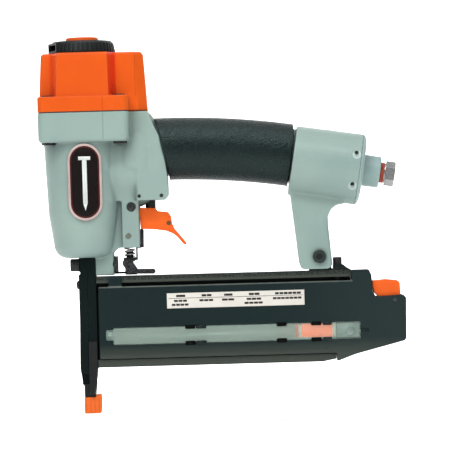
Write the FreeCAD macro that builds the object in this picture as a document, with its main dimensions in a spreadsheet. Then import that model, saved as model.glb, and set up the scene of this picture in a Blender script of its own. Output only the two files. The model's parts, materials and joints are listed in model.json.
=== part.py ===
import FreeCAD, Part
import math
import os
import Sketcher

# Pneumatic 18 gauge brad nailer. Millimetres; +X runs back to the air inlet, +Z up, and the origin is
# where the driver line meets the face of the soft tip that rests on the work.

V = FreeCAD.Vector
ALONG_X = FreeCAD.Rotation(V(0, 1, 0), 90)
ALONG_MINUS_X = FreeCAD.Rotation(V(0, 1, 0), -90)
ALONG_Y = FreeCAD.Rotation(V(1, 0, 0), -90)
ALONG_MINUS_Y = FreeCAD.Rotation(V(1, 0, 0), 90)
UPRIGHT = FreeCAD.Rotation()
HOOD_TURN = FreeCAD.Rotation(V(0, 0, 1), 200)    # the outlet faces forward and a little to the near side

SIZES = {
    # Barrel and head flange of the housing.
    "barrel_bottom": 104.1,
    "barrel_foot_radius": 19.8,
    "barrel_waist": 133.0,
    "barrel_waist_radius": 24.1,
    "barrel_top_radius": 26.2,
    "barrel_foot_round": 9.0,
    "flange_bottom": 181.0,
    "flange_top": 200.7,
    "flange_front": -28.6,
    "flange_rear": 31.9,
    "flange_half": 29.0,
    "corner_round": 5.0,
    "neck_half": 17.0,
    "badge_x": 1.6,
    "badge_z": 154.4,
    "badge_half": 11.3,
    "badge_straight": 14.25,
    "badge_thick": 0.6,
    # Trigger bracket: a web behind the barrel and two ears.
    "web_rear": 25.0,
    "web_half": 9.0,
    "ear_rear": 36.5,
    "ear_half": 12.0,
    "ear_slot_half": 8.2,
    "ear_bottom": 110.0,
    "ear_top": 158.0,
    "ear_slot_top": 143.0,
    # Lug behind the nose.
    "lug_front": 6.6,
    "lug_rear": 19.0,
    "lug_bottom": 92.0,
    "nose_half": 8.0,
    # Handle: an oval section swept on one long arc.
    "grip_arc_x": 58.6,
    "grip_arc_z": -322.6,
    "grip_arc_radius": 498.0,
    "grip_half_height": 20.9,
    "grip_half_width": 18.0,
    "sleeve_wall": 3.2,
    "handle_wall": 3.6,
    # Tail: a round chamber closed by the end cap, tilted down to the rear.
    "tail_x": 184.15,
    "tail_z": 158.05,
    "tail_tilt": 9.5,
    "tail_length": 45.0,
    "tail_radius": 23.8,
    "tail_front_radius": 23.3,
    "tail_bore_radius": 19.4,
    "tail_bore_depth": 34.0,
    "tail_pin_offset": 10.45,
    "tail_pin_depth": 3.6,
    "tail_pin_radius": 1.3,
    "tail_pin_half": 20.4,
    "end_cap_thick": 2.6,
    "end_spigot_depth": 9.0,
    "inlet_boss_radius": 10.5,
    "inlet_boss_end": 14.2,
    "inlet_thread_radius": 6.5,
    "inlet_hex_start": 17.6,
    "inlet_hex_end": 24.1,
    "inlet_hex_flats": 14.3,
    "inlet_bore_radius": 4.35,
    # Post that carries the rear of the magazine.
    "post_half": 10.5,
    "post_bottom": 92.4,
    "post_screw_x": 156.0,
    "post_screw_z": 100.7,
    "post_fork_half": 4.05,
    "post_fork_top": 108.0,
    # Air motor.
    "piston_radius": 15.95,
    "sleeve_bore": 16.0,
    "sleeve_radius": 18.0,
    "sleeve_bottom": 112.0,
    "sleeve_top": 209.0,
    "return_radius": 20.4,
    "return_bottom": 128.0,
    "return_top": 168.0,
    "head_bore": 24.3,
    "head_floor": 186.0,
    "bumper_height": 9.0,
    "stroke": 79.0,
    "piston_height": 7.0,
    "blade_thick": 1.2,
    "blade_width": 2.6,
    "channel_thick": 1.5,
    "channel_width": 3.0,
    # Cap, its screws and the exhaust deflector.
    "gasket_thick": 0.6,
    "cap_band_top": 211.5,
    "cap_top": 240.5,
    "cap_ceiling": 228.0,
    "cap_draft": 0.94,
    "cap_rim_inset": 0.9,
    "cap_rim_height": 1.4,
    "cap_middle": 6.0,
    "cap_screw_front": -22.0,
    "cap_screw_rear": 25.5,
    "cap_screw_side": 21.0,
    "cap_screw_seat": 206.6,
    "deflector_base_radius": 22.2,
    "deflector_top_radius": 20.6,
    "deflector_bottom": 240.8,
    "deflector_top": 249.0,
    "deflector_centre": 1.2,
    "hood_half": 9.0,
    "hood_cut": 12.0,
    "hood_reach": 21.0,
    "plug_radius": 11.0,
    "plug_top": 251.4,
    # Trigger and its valve.
    "pivot_x": 31.4,
    "pivot_z": 137.2,
    "pivot_radius": 3.0,
    "bush_radius": 3.9,
    "trigger_half": 7.6,
    "trigger_channel_half": 4.4,
    "lever_pin_x": 56.1,
    "lever_pin_z": 125.8,
    "lever_pin_radius": 1.5,
    "lever_half": 3.8,
    "valve_x": 44.2,
    "valve_radius": 8.2,
    "valve_bottom": 141.9,
    "valve_top": 166.0,
    "stem_cap_radius": 3.45,
    "stem_radius": 2.2,
    "stem_bottom": 131.6,
    "valve_pin_front": 37.0,
    "valve_pin_rear": 51.9,
    "valve_pin_z": 144.2,
    "valve_pin_radius": 1.25,
    "valve_pin_half": 16.4,
    # Contact arm and its spring.
    "arm_spring_x": 29.35,
    "arm_spring_radius": 4.0,
    "arm_seat": 103.5,
    "arm_pin_x": 29.0,
    "arm_pin_z": 117.8,
    "arm_pin_radius": 1.7,
    "arm_plate_inner": 8.3,
    "arm_plate_outer": 9.5,
    # Nose.
    "nose_end_half": 3.1,
    "nose_end_top": 26.6,
    "nose_bolt_z": 99.3,
    "nose_screw_z": 86.0,
    "nose_fixing_side": 5.0,
    "foot_bottom": 2.4,
    "foot_floor": 12.0,
    "foot_top": 19.5,
    "foot_half": 5.2,
    "foot_step": 12.9,
    "tip_half": 6.4,
    # Magazine.
    "rail_half": 9.0,
    "rail_front": 6.65,
    "rail_rear": 176.8,
    "rail_top": 91.4,
    "rail_top_flange": 86.8,
    "rail_bottom_flange": 35.7,
    "rail_bottom": 30.5,
    "rail_wall": 5.0,
    "rail_core": 0.7,
    "cover_face": -10.5,
    "cover_inner": -0.7,
    "cover_side": 10.5,
    "window_front": 17.3,
    "window_rear": 182.0,
    "window_bottom": 45.4,
    "window_top": 56.7,
    "window_thick": 1.0,
    "pusher_front": 142.0,
    "pusher_rear": 163.8,
    "label_front": 53.5,
    "label_rear": 145.2,
    "label_bottom": 68.8,
    "label_top": 78.9,
    "latch_pin_x": 205.6,
    "latch_pin_z": 70.4,
    "latch_half": 7.6,
    "latch_pin_radius": 1.5,
    "latch_pin_half": 10.2,
    "window_screw_x": 175.3,
    "window_screw_z": 50.4,
    "window_screw_radius": 1.6,
}

# Outlines, each a list of corners in the plane that its sub-part is drawn in.
OUTLINES = {
    # Side view of the neck, from the flange down the front edge of the grip to the valve block.
    "neck": [(8.0, 200.7), (44.4, 200.7), (44.6, 197.6), (46.5, 194.0), (51.1, 184.0), (54.5, 168.9),
             (56.4, 155.7), (56.7, 144.5), (53.9, 141.4), (18.0, 141.4), (8.0, 150.0)],
    # Side view of the web between the barrel and the trigger bracket.
    "web": [(8.0, 107.4), (19.1, 107.4), (22.2, 110.0), (25.0, 110.0), (25.0, 150.0), (8.0, 150.0)],
    # Side view of the post, with the round under the tail.
    "post": [(136.8, 152.0), (142.6, 96.7), (144.3, 92.4), (162.1, 92.4), (164.7, 95.1), (162.5, 121.7),
             (162.6, 127.6), (164.6, 132.0), (168.2, 134.6), (173.6, 135.6), (176.0, 150.0)],
    # Plan of one side of the cap: front wall, screw recess, proud side panel, screw recess, rear wall.
    "cap_side": [(-28.2, -14.0), (-27.0, -15.6), (-20.4, -16.4), (-16.2, -27.4), (19.0, -27.4),
                 (23.7, -16.4), (38.0, -15.4), (44.1, -10.6)],
    # Side view of the trigger, which hooks down behind the finger.
    "trigger": [(26.4, 135.4), (26.7, 139.6), (29.3, 142.0), (33.5, 142.0), (36.0, 139.8),
                (37.2, 136.5), (47.0, 136.1), (49.0, 134.0), (55.7, 133.2), (57.6, 130.4), (58.2, 125.6),
                (59.8, 121.9), (62.8, 118.3), (67.6, 112.2), (67.4, 111.1), (65.9, 111.1),
                (61.8, 116.2), (58.6, 118.8), (54.6, 120.5), (46.6, 121.8), (37.3, 122.3),
                (36.8, 130.6), (29.0, 131.9)],
    # Side view of the cover of the magazine, with its rear block and the step for the latch.
    "cover": [(8.0, 36.1), (165.8, 36.1), (166.0, 31.0), (167.2, 30.9), (178.4, 34.9), (211.6, 43.2),
              (212.6, 44.9), (213.1, 71.8), (211.0, 73.9), (192.7, 73.0), (190.8, 77.1), (190.4, 87.2),
              (188.7, 91.2), (177.0, 91.2), (177.0, 84.3), (8.0, 84.3)],
    # Side view of the full-width block behind the rail, which the same outline closes on the near side.
    "cover_block": [(177.0, 34.6), (178.4, 34.9), (211.6, 43.2), (212.6, 44.9), (213.1, 71.8),
                    (211.0, 73.9), (192.7, 73.0), (190.8, 77.1), (190.4, 87.2), (188.7, 91.2),
                    (177.0, 91.2)],
    # Side view of the bracket that ties the post to the rail.
    "bracket": [(149.0, 91.4), (176.8, 91.4), (173.8, 93.2), (171.6, 95.0), (165.3, 95.0), (165.0, 92.4),
                (149.0, 92.4)],
    # Side view of the finger latch, with a wide round under its front.
    "latch": [(190.9, 83.6), (190.9, 79.4), (192.0, 75.6), (194.6, 72.8), (208.2, 72.8), (209.5, 74.4),
              (209.2, 82.0), (207.6, 83.4), (200.0, 84.3)],
    # Side view of the link that carries the contact arm up from the nose to the trigger bracket.
    "yoke": [(26.2, 91.9), (33.8, 91.9), (34.2, 92.4), (45.0, 92.1), (46.3, 93.0), (46.2, 94.9),
             (44.6, 95.6), (34.4, 95.7), (31.4, 100.4), (33.6, 101.6), (33.6, 103.5), (25.2, 103.5),
             (25.2, 101.8), (24.3, 100.6), (24.6, 98.4), (26.0, 96.4)],
    # Side views of the two halves of the nose, split on the driver line.
    "nose_rear_half": [(0.75, 104.0), (0.75, 18.2), (3.4, 18.2), (3.7, 19.8), (5.9, 29.4), (6.6, 30.4),
                       (6.6, 104.0)],
    "nose_front_half": [(0.75, 104.0), (0.75, 18.2), (-3.0, 18.2), (-4.5, 19.8), (-5.6, 31.5), (-5.0, 62.0),
                        (-5.1, 92.6), (-4.0, 93.4), (-4.0, 94.6), (-4.8, 95.2), (-4.8, 104.0)],
    # Side view of the soft tip, taller towards the magazine.
    "tip": [(-3.6, 0.8), (-3.0, 0.0), (6.9, 0.0), (7.7, 0.8), (8.1, 11.6), (7.2, 12.6), (4.2, 12.2),
            (3.0, 11.4), (-3.4, 10.6)],
}


class Size:
    """A length that keeps its number and the sheet expression that it comes from."""

    def __init__(self, value, text):
        self.value = value
        self.text = text

    def __add__(self, other):
        other = as_size(other)
        return Size(self.value + other.value, f"({self.text} + {other.text})")

    def __sub__(self, other):
        other = as_size(other)
        return Size(self.value - other.value, f"({self.text} - {other.text})")

    def __mul__(self, other):
        other = as_size(other)
        return Size(self.value * other.value, f"({self.text} * {other.text})")

    def __truediv__(self, other):
        other = as_size(other)
        return Size(self.value / other.value, f"({self.text} / {other.text})")

    def __neg__(self):
        return Size(-self.value, f"(0 - {self.text})")

    def __radd__(self, other):
        return as_size(other) + self

    def __rsub__(self, other):
        return as_size(other) - self

    def __rmul__(self, other):
        return as_size(other) * self


def as_size(value):
    return value if isinstance(value, Size) else Size(float(value), f"{float(value):.6f}")


class Sizes:
    """The spreadsheet, read by alias."""

    def __init__(self, document):
        self.values = dict(SIZES)
        for name, corners in OUTLINES.items():
            for index, (first, second) in enumerate(corners, 1):
                self.values[f"{name}_{index}_first"] = first
                self.values[f"{name}_{index}_second"] = second
        sheet = document.addObject("Spreadsheet::Sheet", "Sizes")
        for row, (alias, value) in enumerate(self.values.items(), 1):
            sheet.set(f"A{row}", alias)
            sheet.set(f"B{row}", str(value))
            sheet.setAlias(f"B{row}", alias)
        document.recompute()

    def __getattr__(self, alias):
        return Size(float(self.values[alias]), f"Sizes.{alias}")

    def outline(self, name):
        """The corners of a named outline."""
        count = len(OUTLINES[name])
        return [(getattr(self, f"{name}_{n}_first"), getattr(self, f"{name}_{n}_second"))
                for n in range(1, count + 1)]


doc = FreeCAD.newDocument("BradNailer")
S = Sizes(doc)
nodes = []


def bind(thing, prop, value):
    thing.setExpression(prop, as_size(value).text)


def place(thing, at, turn=UPRIGHT):
    """Puts an object at three bound coordinates, turned about its own origin."""
    coordinates = [as_size(value) for value in at]
    thing.Placement = FreeCAD.Placement(V(*[size.value for size in coordinates]), turn)
    for axis, size in zip("xyz", coordinates):
        bind(thing, f"Placement.Base.{axis}", size)


def keep(thing, label):
    """Names an object as one sub-part that is written out."""
    thing.Label = label
    nodes.append(thing)
    return thing


# Sketched bodies -----------------------------------------------------------------------------------

def new_body(name):
    return doc.addObject("PartDesign::Body", name)


def attach(body, profile, plane, lift):
    support = next(item for item in body.Origin.OriginFeatures if item.Role == plane)
    profile.AttachmentSupport = (support, [""])
    profile.MapMode = "FlatFace"
    bind(profile, "AttachmentOffset.Base.z", lift)


def draw(body, name, plane, corners, lift=0.0):
    """A closed sketch with straight sides, each corner held by two bound distances."""
    profile = body.newObject("Sketcher::SketchObject", name)
    attach(body, profile, plane, lift)
    count = len(corners)
    sizes = [(as_size(first), as_size(second)) for first, second in corners]
    points = [V(first.value, second.value, 0) for first, second in sizes]
    sides = [Part.LineSegment(points[i], points[(i + 1) % count]) for i in range(count)]
    profile.addGeometry(sides, False)
    rules = [Sketcher.Constraint("Coincident", i, 2, (i + 1) % count, 1) for i in range(count)]
    for i, point in enumerate(points):
        rules.append(Sketcher.Constraint("DistanceX", -1, 1, i, 1, point.x))
        rules.append(Sketcher.Constraint("DistanceY", -1, 1, i, 1, point.y))
    profile.addConstraint(rules)
    for i, pair in enumerate(sizes):
        for side, size in enumerate(pair):
            rule = count + 2 * i + side
            profile.renameConstraint(rule, f"corner_{i}_{side}")
            bind(profile, f"Constraints.corner_{i}_{side}", size)
    return profile


def draw_circle(body, name, plane, centre, radius, lift=0.0):
    profile = body.newObject("Sketcher::SketchObject", name)
    attach(body, profile, plane, lift)
    across, up, reach = [as_size(value) for value in (*centre, radius)]
    profile.addGeometry(Part.Circle(V(across.value, up.value, 0), V(0, 0, 1), reach.value), False)
    profile.addConstraint([Sketcher.Constraint("DistanceX", -1, 1, 0, 3, across.value),
                           Sketcher.Constraint("DistanceY", -1, 1, 0, 3, up.value),
                           Sketcher.Constraint("Radius", 0, reach.value)])
    for rule, (word, size) in enumerate((("across", across), ("up", up), ("reach", reach))):
        profile.renameConstraint(rule, word)
        bind(profile, f"Constraints.{word}", size)
    return profile


def pad(body, profile, length, name="Pad"):
    feature = body.newObject("PartDesign::Pad", name)
    feature.Profile = profile
    bind(feature, "Length", length)
    return feature


def pocket(body, profile, length, name="Pocket", both=False, reverse=False):
    """Cuts a sketch out of a body, and makes sure that it removed something."""
    doc.recompute()
    before = body.Shape.Volume
    feature = body.newObject("PartDesign::Pocket", name)
    feature.Profile = profile
    feature.Midplane = both
    feature.Reversed = reverse
    bind(feature, "Length", length)
    doc.recompute()
    if not body.Shape.Volume < before:
        raise ValueError(f"{body.Name} {name} removed nothing")
    return feature


def plate(name, corners, low, high):
    """A prism drawn in side view, from Y = low to Y = high."""
    body = new_body(name)
    profile = draw(body, f"{name}_outline", "XZ_Plane", corners, -as_size(high))
    pad(body, profile, as_size(high) - low, f"{name}_pad")
    return body


def tower(name, corners, low, high):
    """A prism drawn in plan, from Z = low to Z = high."""
    body = new_body(name)
    profile = draw(body, f"{name}_outline", "XY_Plane", corners, low)
    pad(body, profile, as_size(high) - low, f"{name}_pad")
    return body


def turned(name, corners, at=(0, 0, 0), turn=UPRIGHT):
    """A solid of revolution about its own Z axis, from corners given as (radius, height)."""
    body = new_body(name)
    profile = draw(body, f"{name}_outline", "XZ_Plane", corners)
    feature = body.newObject("PartDesign::Revolution", f"{name}_turn")
    feature.Profile = profile
    feature.ReferenceAxis = (profile, ["V_Axis"])
    feature.Angle = 360
    place(body, at, turn)
    return body


def side_hole(body, name, centre, radius, length):
    """A round hole along Y right through a body drawn in side view."""
    pocket(body, draw_circle(body, f"{name}_circle", "XZ_Plane", centre, radius), length, name, both=True)


def blend(body, name, radius, wanted, kind="Fillet"):
    """Rounds or bevels the edges of a body that the given test picks."""
    doc.recompute()
    before = body.Tip
    edges = [f"Edge{n}" for n, edge in enumerate(before.Shape.Edges, 1) if wanted(edge)]
    if not edges:
        raise ValueError(f"{body.Name} {name} found no edge")
    feature = body.newObject(f"PartDesign::{kind}", name)
    feature.Base = (before, edges)
    bind(feature, "Radius" if kind == "Fillet" else "Size", radius)
    doc.recompute()
    return feature


def runs(edge, axis):
    """Whether an edge is straight and parallel to an axis."""
    if not isinstance(edge.Curve, Part.Line):
        return False
    return abs(abs(edge.Curve.Direction[axis]) - 1) < 1e-6


def near(edge, across, height, reach=1.5):
    """Whether an edge passes close to a place in the side view."""
    middle = edge.valueAt((edge.FirstParameter + edge.LastParameter) / 2)
    return abs(middle.x - as_size(across).value) < reach and abs(middle.z - as_size(height).value) < reach


def level(edge, height):
    """Whether an edge lies at one height."""
    box = edge.BoundBox
    return abs(box.ZMin - as_size(height).value) < 0.01 and abs(box.ZMax - as_size(height).value) < 0.01


def rectangle(left, right, low, high):
    return [(left, low), (right, low), (right, high), (left, high)]


def hexagon(flats):
    """Corners of a hexagon about the origin, from its width across flats."""
    reach = as_size(flats) / math.sqrt(3)
    return [(reach * math.cos(math.radians(60 * n)), reach * math.sin(math.radians(60 * n)))
            for n in range(6)]


# Part primitives and booleans ----------------------------------------------------------------------

def rod(name, radius, length, at, turn=UPRIGHT):
    thing = doc.addObject("Part::Cylinder", name)
    bind(thing, "Radius", radius)
    bind(thing, "Height", length)
    place(thing, at, turn)
    return thing


def cross_rod(name, radius, half, x, z):
    """A rod along Y, centred on the middle plane."""
    return rod(name, radius, as_size(half) * 2, (x, -as_size(half), z), ALONG_Y)


def block(name, low, high):
    thing = doc.addObject("Part::Box", name)
    for prop, first, last in zip(("Length", "Width", "Height"), low, high):
        bind(thing, prop, as_size(last) - first)
    place(thing, low)
    return thing


def fuse(name, things):
    thing = doc.addObject("Part::MultiFuse", name)
    thing.Shapes = things
    thing.Refine = True
    return thing


def cut(name, base, things):
    thing = doc.addObject("Part::Cut", name)
    thing.Base = base
    thing.Tool = things[0] if len(things) == 1 else fuse(f"{name}_cutters", things)
    thing.Refine = True
    return thing


def common(name, things):
    thing = doc.addObject("Part::MultiCommon", name)
    thing.Shapes = things
    return thing


def group(label, things):
    """Separate equal solids that share one node."""
    thing = doc.addObject("Part::Compound", label)
    thing.Links = things
    return keep(thing, label)


def ring(name, middle, thick, at, turn=UPRIGHT):
    """A round seal: its middle radius and its section radius."""
    thing = doc.addObject("Part::Torus", name)
    bind(thing, "Radius1", middle)
    bind(thing, "Radius2", thick)
    place(thing, at, turn)
    return thing


def coil(name, radius, wire, pitch, height, at, turn=UPRIGHT):
    """A helical wire spring, swept round its own Z axis one turn at a time."""
    path = doc.addObject("Part::Helix", f"{name}_path")
    bind(path, "Radius", radius)
    bind(path, "Pitch", pitch)
    bind(path, "Height", height)
    path.SegmentLength = 1
    doc.recompute()
    section = doc.addObject("Part::Circle", f"{name}_section")
    bind(section, "Radius", wire)
    section.Placement = FreeCAD.Placement(V(as_size(radius).value, 0, 0), ALONG_MINUS_Y)
    bind(section, "Placement.Base.x", radius)
    thing = doc.addObject("Part::Sweep", name)
    thing.Sections = [section]
    thing.Spine = (path, [f"Edge{n}" for n in range(1, len(path.Shape.Edges) + 1)])
    thing.Solid = True
    thing.Frenet = True
    place(thing, at, turn)
    return thing


def oval_arc(name, half_height, half_width, start, sweep):
    """An oval section swept about the far centre of the handle, from start degrees behind its top."""
    section = doc.addObject("Part::Ellipse", f"{name}_section")
    bind(section, "MajorRadius", half_height)
    bind(section, "MinorRadius", half_width)
    angle = math.radians(start)
    place(section, (S.grip_arc_x + S.grip_arc_radius * math.sin(angle), 0,
                    S.grip_arc_z + S.grip_arc_radius * math.cos(angle)),
          FreeCAD.Rotation(V(0, 1, 0), 90 + start))
    turn = doc.addObject("Part::Revolution", name)
    turn.Source = section
    turn.Axis = V(0, 1, 0)
    bind(turn, "Base.x", S.grip_arc_x)
    bind(turn, "Base.z", S.grip_arc_z)
    turn.Solid = True
    bind(turn, "Angle", sweep)
    return turn


# Fasteners -----------------------------------------------------------------------------------------

def cap_screw(name, shank, head, head_height, length, at, turn):
    """A socket screw whose head seats at its own origin and whose shank runs down its own -Z."""
    shank, head, head_height, length = [as_size(value) for value in (shank, head, head_height, length)]
    body = turned(name, [(0, -length), (shank - 0.4, -length), (shank, -length + 0.4), (shank, 0),
                         (head, 0), (head, head_height - 0.5), (head - 0.5, head_height), (0, head_height)],
                  at, turn)
    socket = draw(body, f"{name}_socket", "XY_Plane", hexagon(shank * 1.6), head_height)
    pocket(body, socket, head_height * 0.6, f"{name}_key")
    return body


def nut(name, bore, flats, height, at, turn=UPRIGHT):
    body = new_body(name)
    pad(body, draw(body, f"{name}_outline", "XY_Plane", hexagon(flats)), height, f"{name}_pad")
    hole = draw_circle(body, f"{name}_circle", "XY_Plane", (0, 0), bore)
    pocket(body, hole, as_size(height) * 2, f"{name}_bore", both=True)
    place(body, at, turn)
    return body


# Housing -------------------------------------------------------------------------------------------

def make_housing():
    barrel = turned("barrel", [(0, S.barrel_bottom), (S.barrel_foot_radius, S.barrel_bottom),
                               (S.barrel_waist_radius, S.barrel_waist),
                               (S.barrel_top_radius, S.flange_bottom), (0, S.flange_bottom)])
    blend(barrel, "barrel_foot", S.barrel_foot_round, lambda edge: level(edge, S.barrel_bottom))

    flange = tower("flange", rectangle(S.flange_front, S.flange_rear, -S.flange_half, S.flange_half),
                   S.flange_bottom, S.flange_top)
    blend(flange, "flange_corners", S.corner_round, lambda edge: runs(edge, 2))
    blend(flange, "flange_bevel", 1.6, lambda edge: level(edge, S.flange_bottom), "Chamfer")

    neck = plate("neck", S.outline("neck"), -S.neck_half, S.neck_half)
    web = plate("web", S.outline("web"), -S.web_half, S.web_half)
    ears = plate("ears", rectangle(S.web_rear, S.ear_rear, S.ear_bottom, S.ear_top),
                 -S.ear_half, S.ear_half)
    lug = tower("lug", rectangle(S.lug_front, S.lug_rear, -S.nose_half, S.nose_half),
                S.lug_bottom, S.barrel_bottom + 8)
    blend(lug, "lug_edges", 1.5, lambda edge: runs(edge, 2) and edge.BoundBox.XMin > 10)

    handle = oval_arc("handle_core", S.grip_half_height - S.sleeve_wall,
                      S.grip_half_width - S.sleeve_wall, -2.5, 13.0)
    tail = doc.addObject("Part::Cone", "tail")
    bind(tail, "Radius1", S.tail_radius)
    bind(tail, "Radius2", S.tail_front_radius)
    bind(tail, "Height", S.tail_length)
    place(tail, (S.tail_x, 0, S.tail_z), tail_turn(forward=True))

    post = plate("post", S.outline("post"), -S.post_half, S.post_half)
    blend(post, "post_foot", 2.2, lambda edge: runs(edge, 1)
          and (near(edge, S.post_3_first, S.post_3_second) or near(edge, S.post_4_first, S.post_4_second)))
    blend(post, "post_edges", 2.5, lambda edge: edge.BoundBox.YLength < 0.01
          and edge.BoundBox.ZLength > 15 and edge.BoundBox.ZMax < 150)

    shell = fuse("housing_solid", [barrel, flange, neck, web, ears, lug, handle, tail, post])

    cutters = [
        rod("sleeve_seat", S.sleeve_radius, S.head_floor - S.sleeve_bottom, (0, 0, S.sleeve_bottom)),
        rod("return_chamber", S.return_radius, S.return_top - S.return_bottom, (0, 0, S.return_bottom)),
        rod("head_chamber", S.head_bore, S.flange_top - S.head_floor + 1, (0, 0, S.head_floor)),
        rod("blade_way", 2.6, 12.0, (0, 0, S.barrel_bottom - 2)),
        block("air_way", (19.0, -9.0, 177.0), (47.0, 9.0, 190.0)),
        oval_arc("handle_bore", S.grip_half_height - S.sleeve_wall - S.handle_wall,
                 S.grip_half_width - S.sleeve_wall - S.handle_wall, -1.6, 11.6),
        rod("valve_bore", S.valve_radius, S.valve_top - S.valve_bottom + 2, (S.valve_x, 0, 140.0)),
        rod("tail_bore", S.tail_bore_radius, S.tail_bore_depth + 1, tail_point(-1), tail_turn(True)),
        block("ear_slot", (S.web_rear, -S.ear_slot_half, S.ear_bottom - 1),
              (S.ear_rear + 0.5, S.ear_slot_half, S.ear_slot_top)),
        block("post_fork", (140.0, -S.post_fork_half, S.post_bottom - 1),
              (170.0, S.post_fork_half, S.post_fork_top)),
        cross_rod("pivot_hole", S.pivot_radius, 30, S.pivot_x, S.pivot_z),
        cross_rod("arm_pin_hole", S.arm_pin_radius, 30, S.arm_pin_x, S.arm_pin_z),
        cross_rod("post_screw_hole", 2.5, 30, S.post_screw_x, S.post_screw_z),
    ]
    for index, x in enumerate((S.valve_pin_front, S.valve_pin_rear)):
        cutters.append(cross_rod(f"valve_pin_hole_{index}", S.valve_pin_radius, 30, x, S.valve_pin_z))
    for index, side in enumerate((-1, 1)):
        cutters.append(tail_cross_rod(f"tail_pin_hole_{index}", S.tail_pin_radius, 30, side))
        cutters.append(rod(f"nose_bolt_hole_{index}", 2.5, 14.0,
                           (6.0, S.nose_fixing_side * side, S.nose_bolt_z), ALONG_X))
    for index, (x, y) in enumerate(cap_screw_places()):
        cutters.append(rod(f"cap_screw_hole_{index}", 2.5, 26.0, (x, y, S.flange_bottom - 2)))
        cutters.append(rod(f"cap_nut_pocket_{index}", 4.75, 4.2, (x, y, S.flange_bottom - 2.0)))
    keep(cut("housing", shell, cutters), "main_housing")


def tail_turn(forward=False):
    """Turns local Z onto the axis of the tail, rearwards or forwards."""
    angle = 90 + S.tail_tilt.value + (180 if forward else 0)
    return FreeCAD.Rotation(V(0, 1, 0), angle)


def tail_point(depth, rise=0.0):
    """A place on the axis of the tail, depth forward of the joint face and rise square to the axis."""
    tilt = math.radians(S.tail_tilt.value)
    return (S.tail_x - as_size(depth) * math.cos(tilt) + as_size(rise) * math.sin(tilt), 0,
            S.tail_z + as_size(depth) * math.sin(tilt) + as_size(rise) * math.cos(tilt))


def tail_cross_rod(name, radius, half, side):
    """One of the two cross pins of the end cap, above (1) or below (-1) the axis of the tail."""
    x, _, z = tail_point(S.tail_pin_depth, S.tail_pin_offset * side)
    return cross_rod(name, radius, half, x, z)


def cap_screw_places():
    return [(x, side * S.cap_screw_side) for x in (S.cap_screw_front, S.cap_screw_rear)
            for side in (-1, 1)]


def make_badge():
    """A stadium-shaped plate that lies on the curved side of the barrel."""
    half, low, high = S.badge_half, S.badge_z - S.badge_straight, S.badge_z + S.badge_straight
    stadium = fuse("badge_stadium", [
        block("badge_middle", (S.badge_x - half, -30, low), (S.badge_x + half, -15, high)),
        rod("badge_upper", half, 15.0, (S.badge_x, -30, high), ALONG_Y),
        rod("badge_lower", half, 15.0, (S.badge_x, -30, low), ALONG_Y)])
    slope = (S.barrel_top_radius - S.barrel_waist_radius) / (S.flange_bottom - S.barrel_waist)
    foot = S.barrel_waist_radius - slope * 8.0
    top = S.barrel_top_radius - slope * 0.6
    skin = turned("badge_skin", [(foot, S.barrel_waist - 8.0), (foot + S.badge_thick, S.barrel_waist - 8.0),
                                 (top + S.badge_thick, S.flange_bottom - 0.6),
                                 (top, S.flange_bottom - 0.6)])
    keep(common("badge_plate", [stadium, skin]), "badge")


def make_grip():
    outer = oval_arc("grip_outer", S.grip_half_height, S.grip_half_width, -1.6, 11.4)
    inner = oval_arc("grip_inner", S.grip_half_height - S.sleeve_wall,
                     S.grip_half_width - S.sleeve_wall, -2.5, 13.0)
    ends = plate("grip_ends", [(47.7, 198.0), (52.1, 184.0), (55.5, 168.9), (57.5, 155.0), (58.2, 150.0),
                               (95.0, 140.0), (135.4, 145.0), (135.9, 148.0), (139.1, 166.0),
                               (141.3, 182.0), (141.0, 190.0), (95.0, 205.0)], -30, 30)
    keep(cut("grip_sleeve_shape", common("grip_trimmed", [outer, ends]), [inner]), "grip_sleeve")


# Air motor -----------------------------------------------------------------------------------------

def make_motor():
    keep(turned("sleeve", [(S.sleeve_bore, S.sleeve_bottom), (S.sleeve_radius, S.sleeve_bottom),
                           (S.sleeve_radius, S.sleeve_top), (S.sleeve_bore, S.sleeve_top)]),
         "cylinder_sleeve")
    top = S.sleeve_bottom + S.bumper_height
    keep(turned("bumper", [(4.0, S.sleeve_bottom), (15.9, S.sleeve_bottom), (15.9, top - 3),
                           (13.0, top), (4.0, top)]), "piston_bumper")
    low = top + S.stroke
    high = low + S.piston_height
    keep(turned("piston_body", [(0, low - 3), (3.4, low - 3), (3.4, low), (S.piston_radius, low),
                                (S.piston_radius, low + 2.2), (S.piston_radius - 1.6, low + 2.2),
                                (S.piston_radius - 1.6, low + 4.8), (S.piston_radius, low + 4.8),
                                (S.piston_radius, high), (0, high)]), "piston")
    keep(ring("piston_ring", S.piston_radius - 0.8, 0.8, (0, 0, low + 3.5)), "piston_seal")
    keep(block("blade", (-S.blade_thick / 2, -S.blade_width / 2, 84.2),
               (S.blade_thick / 2, S.blade_width / 2, low - 3)), "driver_blade")

    valve_low, valve_high = S.sleeve_top + 0.3, S.sleeve_top + 12.0
    land = S.head_bore - 0.08
    keep(turned("head_valve_body", [(6.0, valve_low), (22.4, valve_low), (land, valve_low + 2),
                                    (land, valve_low + 3.4), (22.5, valve_low + 3.4),
                                    (22.5, valve_low + 6.2), (land, valve_low + 6.2),
                                    (land, valve_low + 8), (11.0, valve_low + 8),
                                    (9.6, valve_high), (6.0, valve_high)]), "head_valve")
    keep(ring("head_valve_ring", 23.1, 1.1, (0, 0, valve_low + 4.8)), "head_valve_seal")
    start = valve_low + 8.9
    keep(coil("head_spring", 14.0, 0.8, 4.1, S.cap_ceiling - start - 1.6, (0, 0, start)),
         "head_valve_spring")


# Cap -----------------------------------------------------------------------------------------------

def cap_plan(scale):
    """The closed plan of the cap, both sides, drawn in towards its middle by a scale."""
    side = [((x - S.cap_middle) * scale + S.cap_middle, y * scale) for x, y in S.outline("cap_side")]
    return side + [(x, -y) for x, y in reversed(side)]


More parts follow.
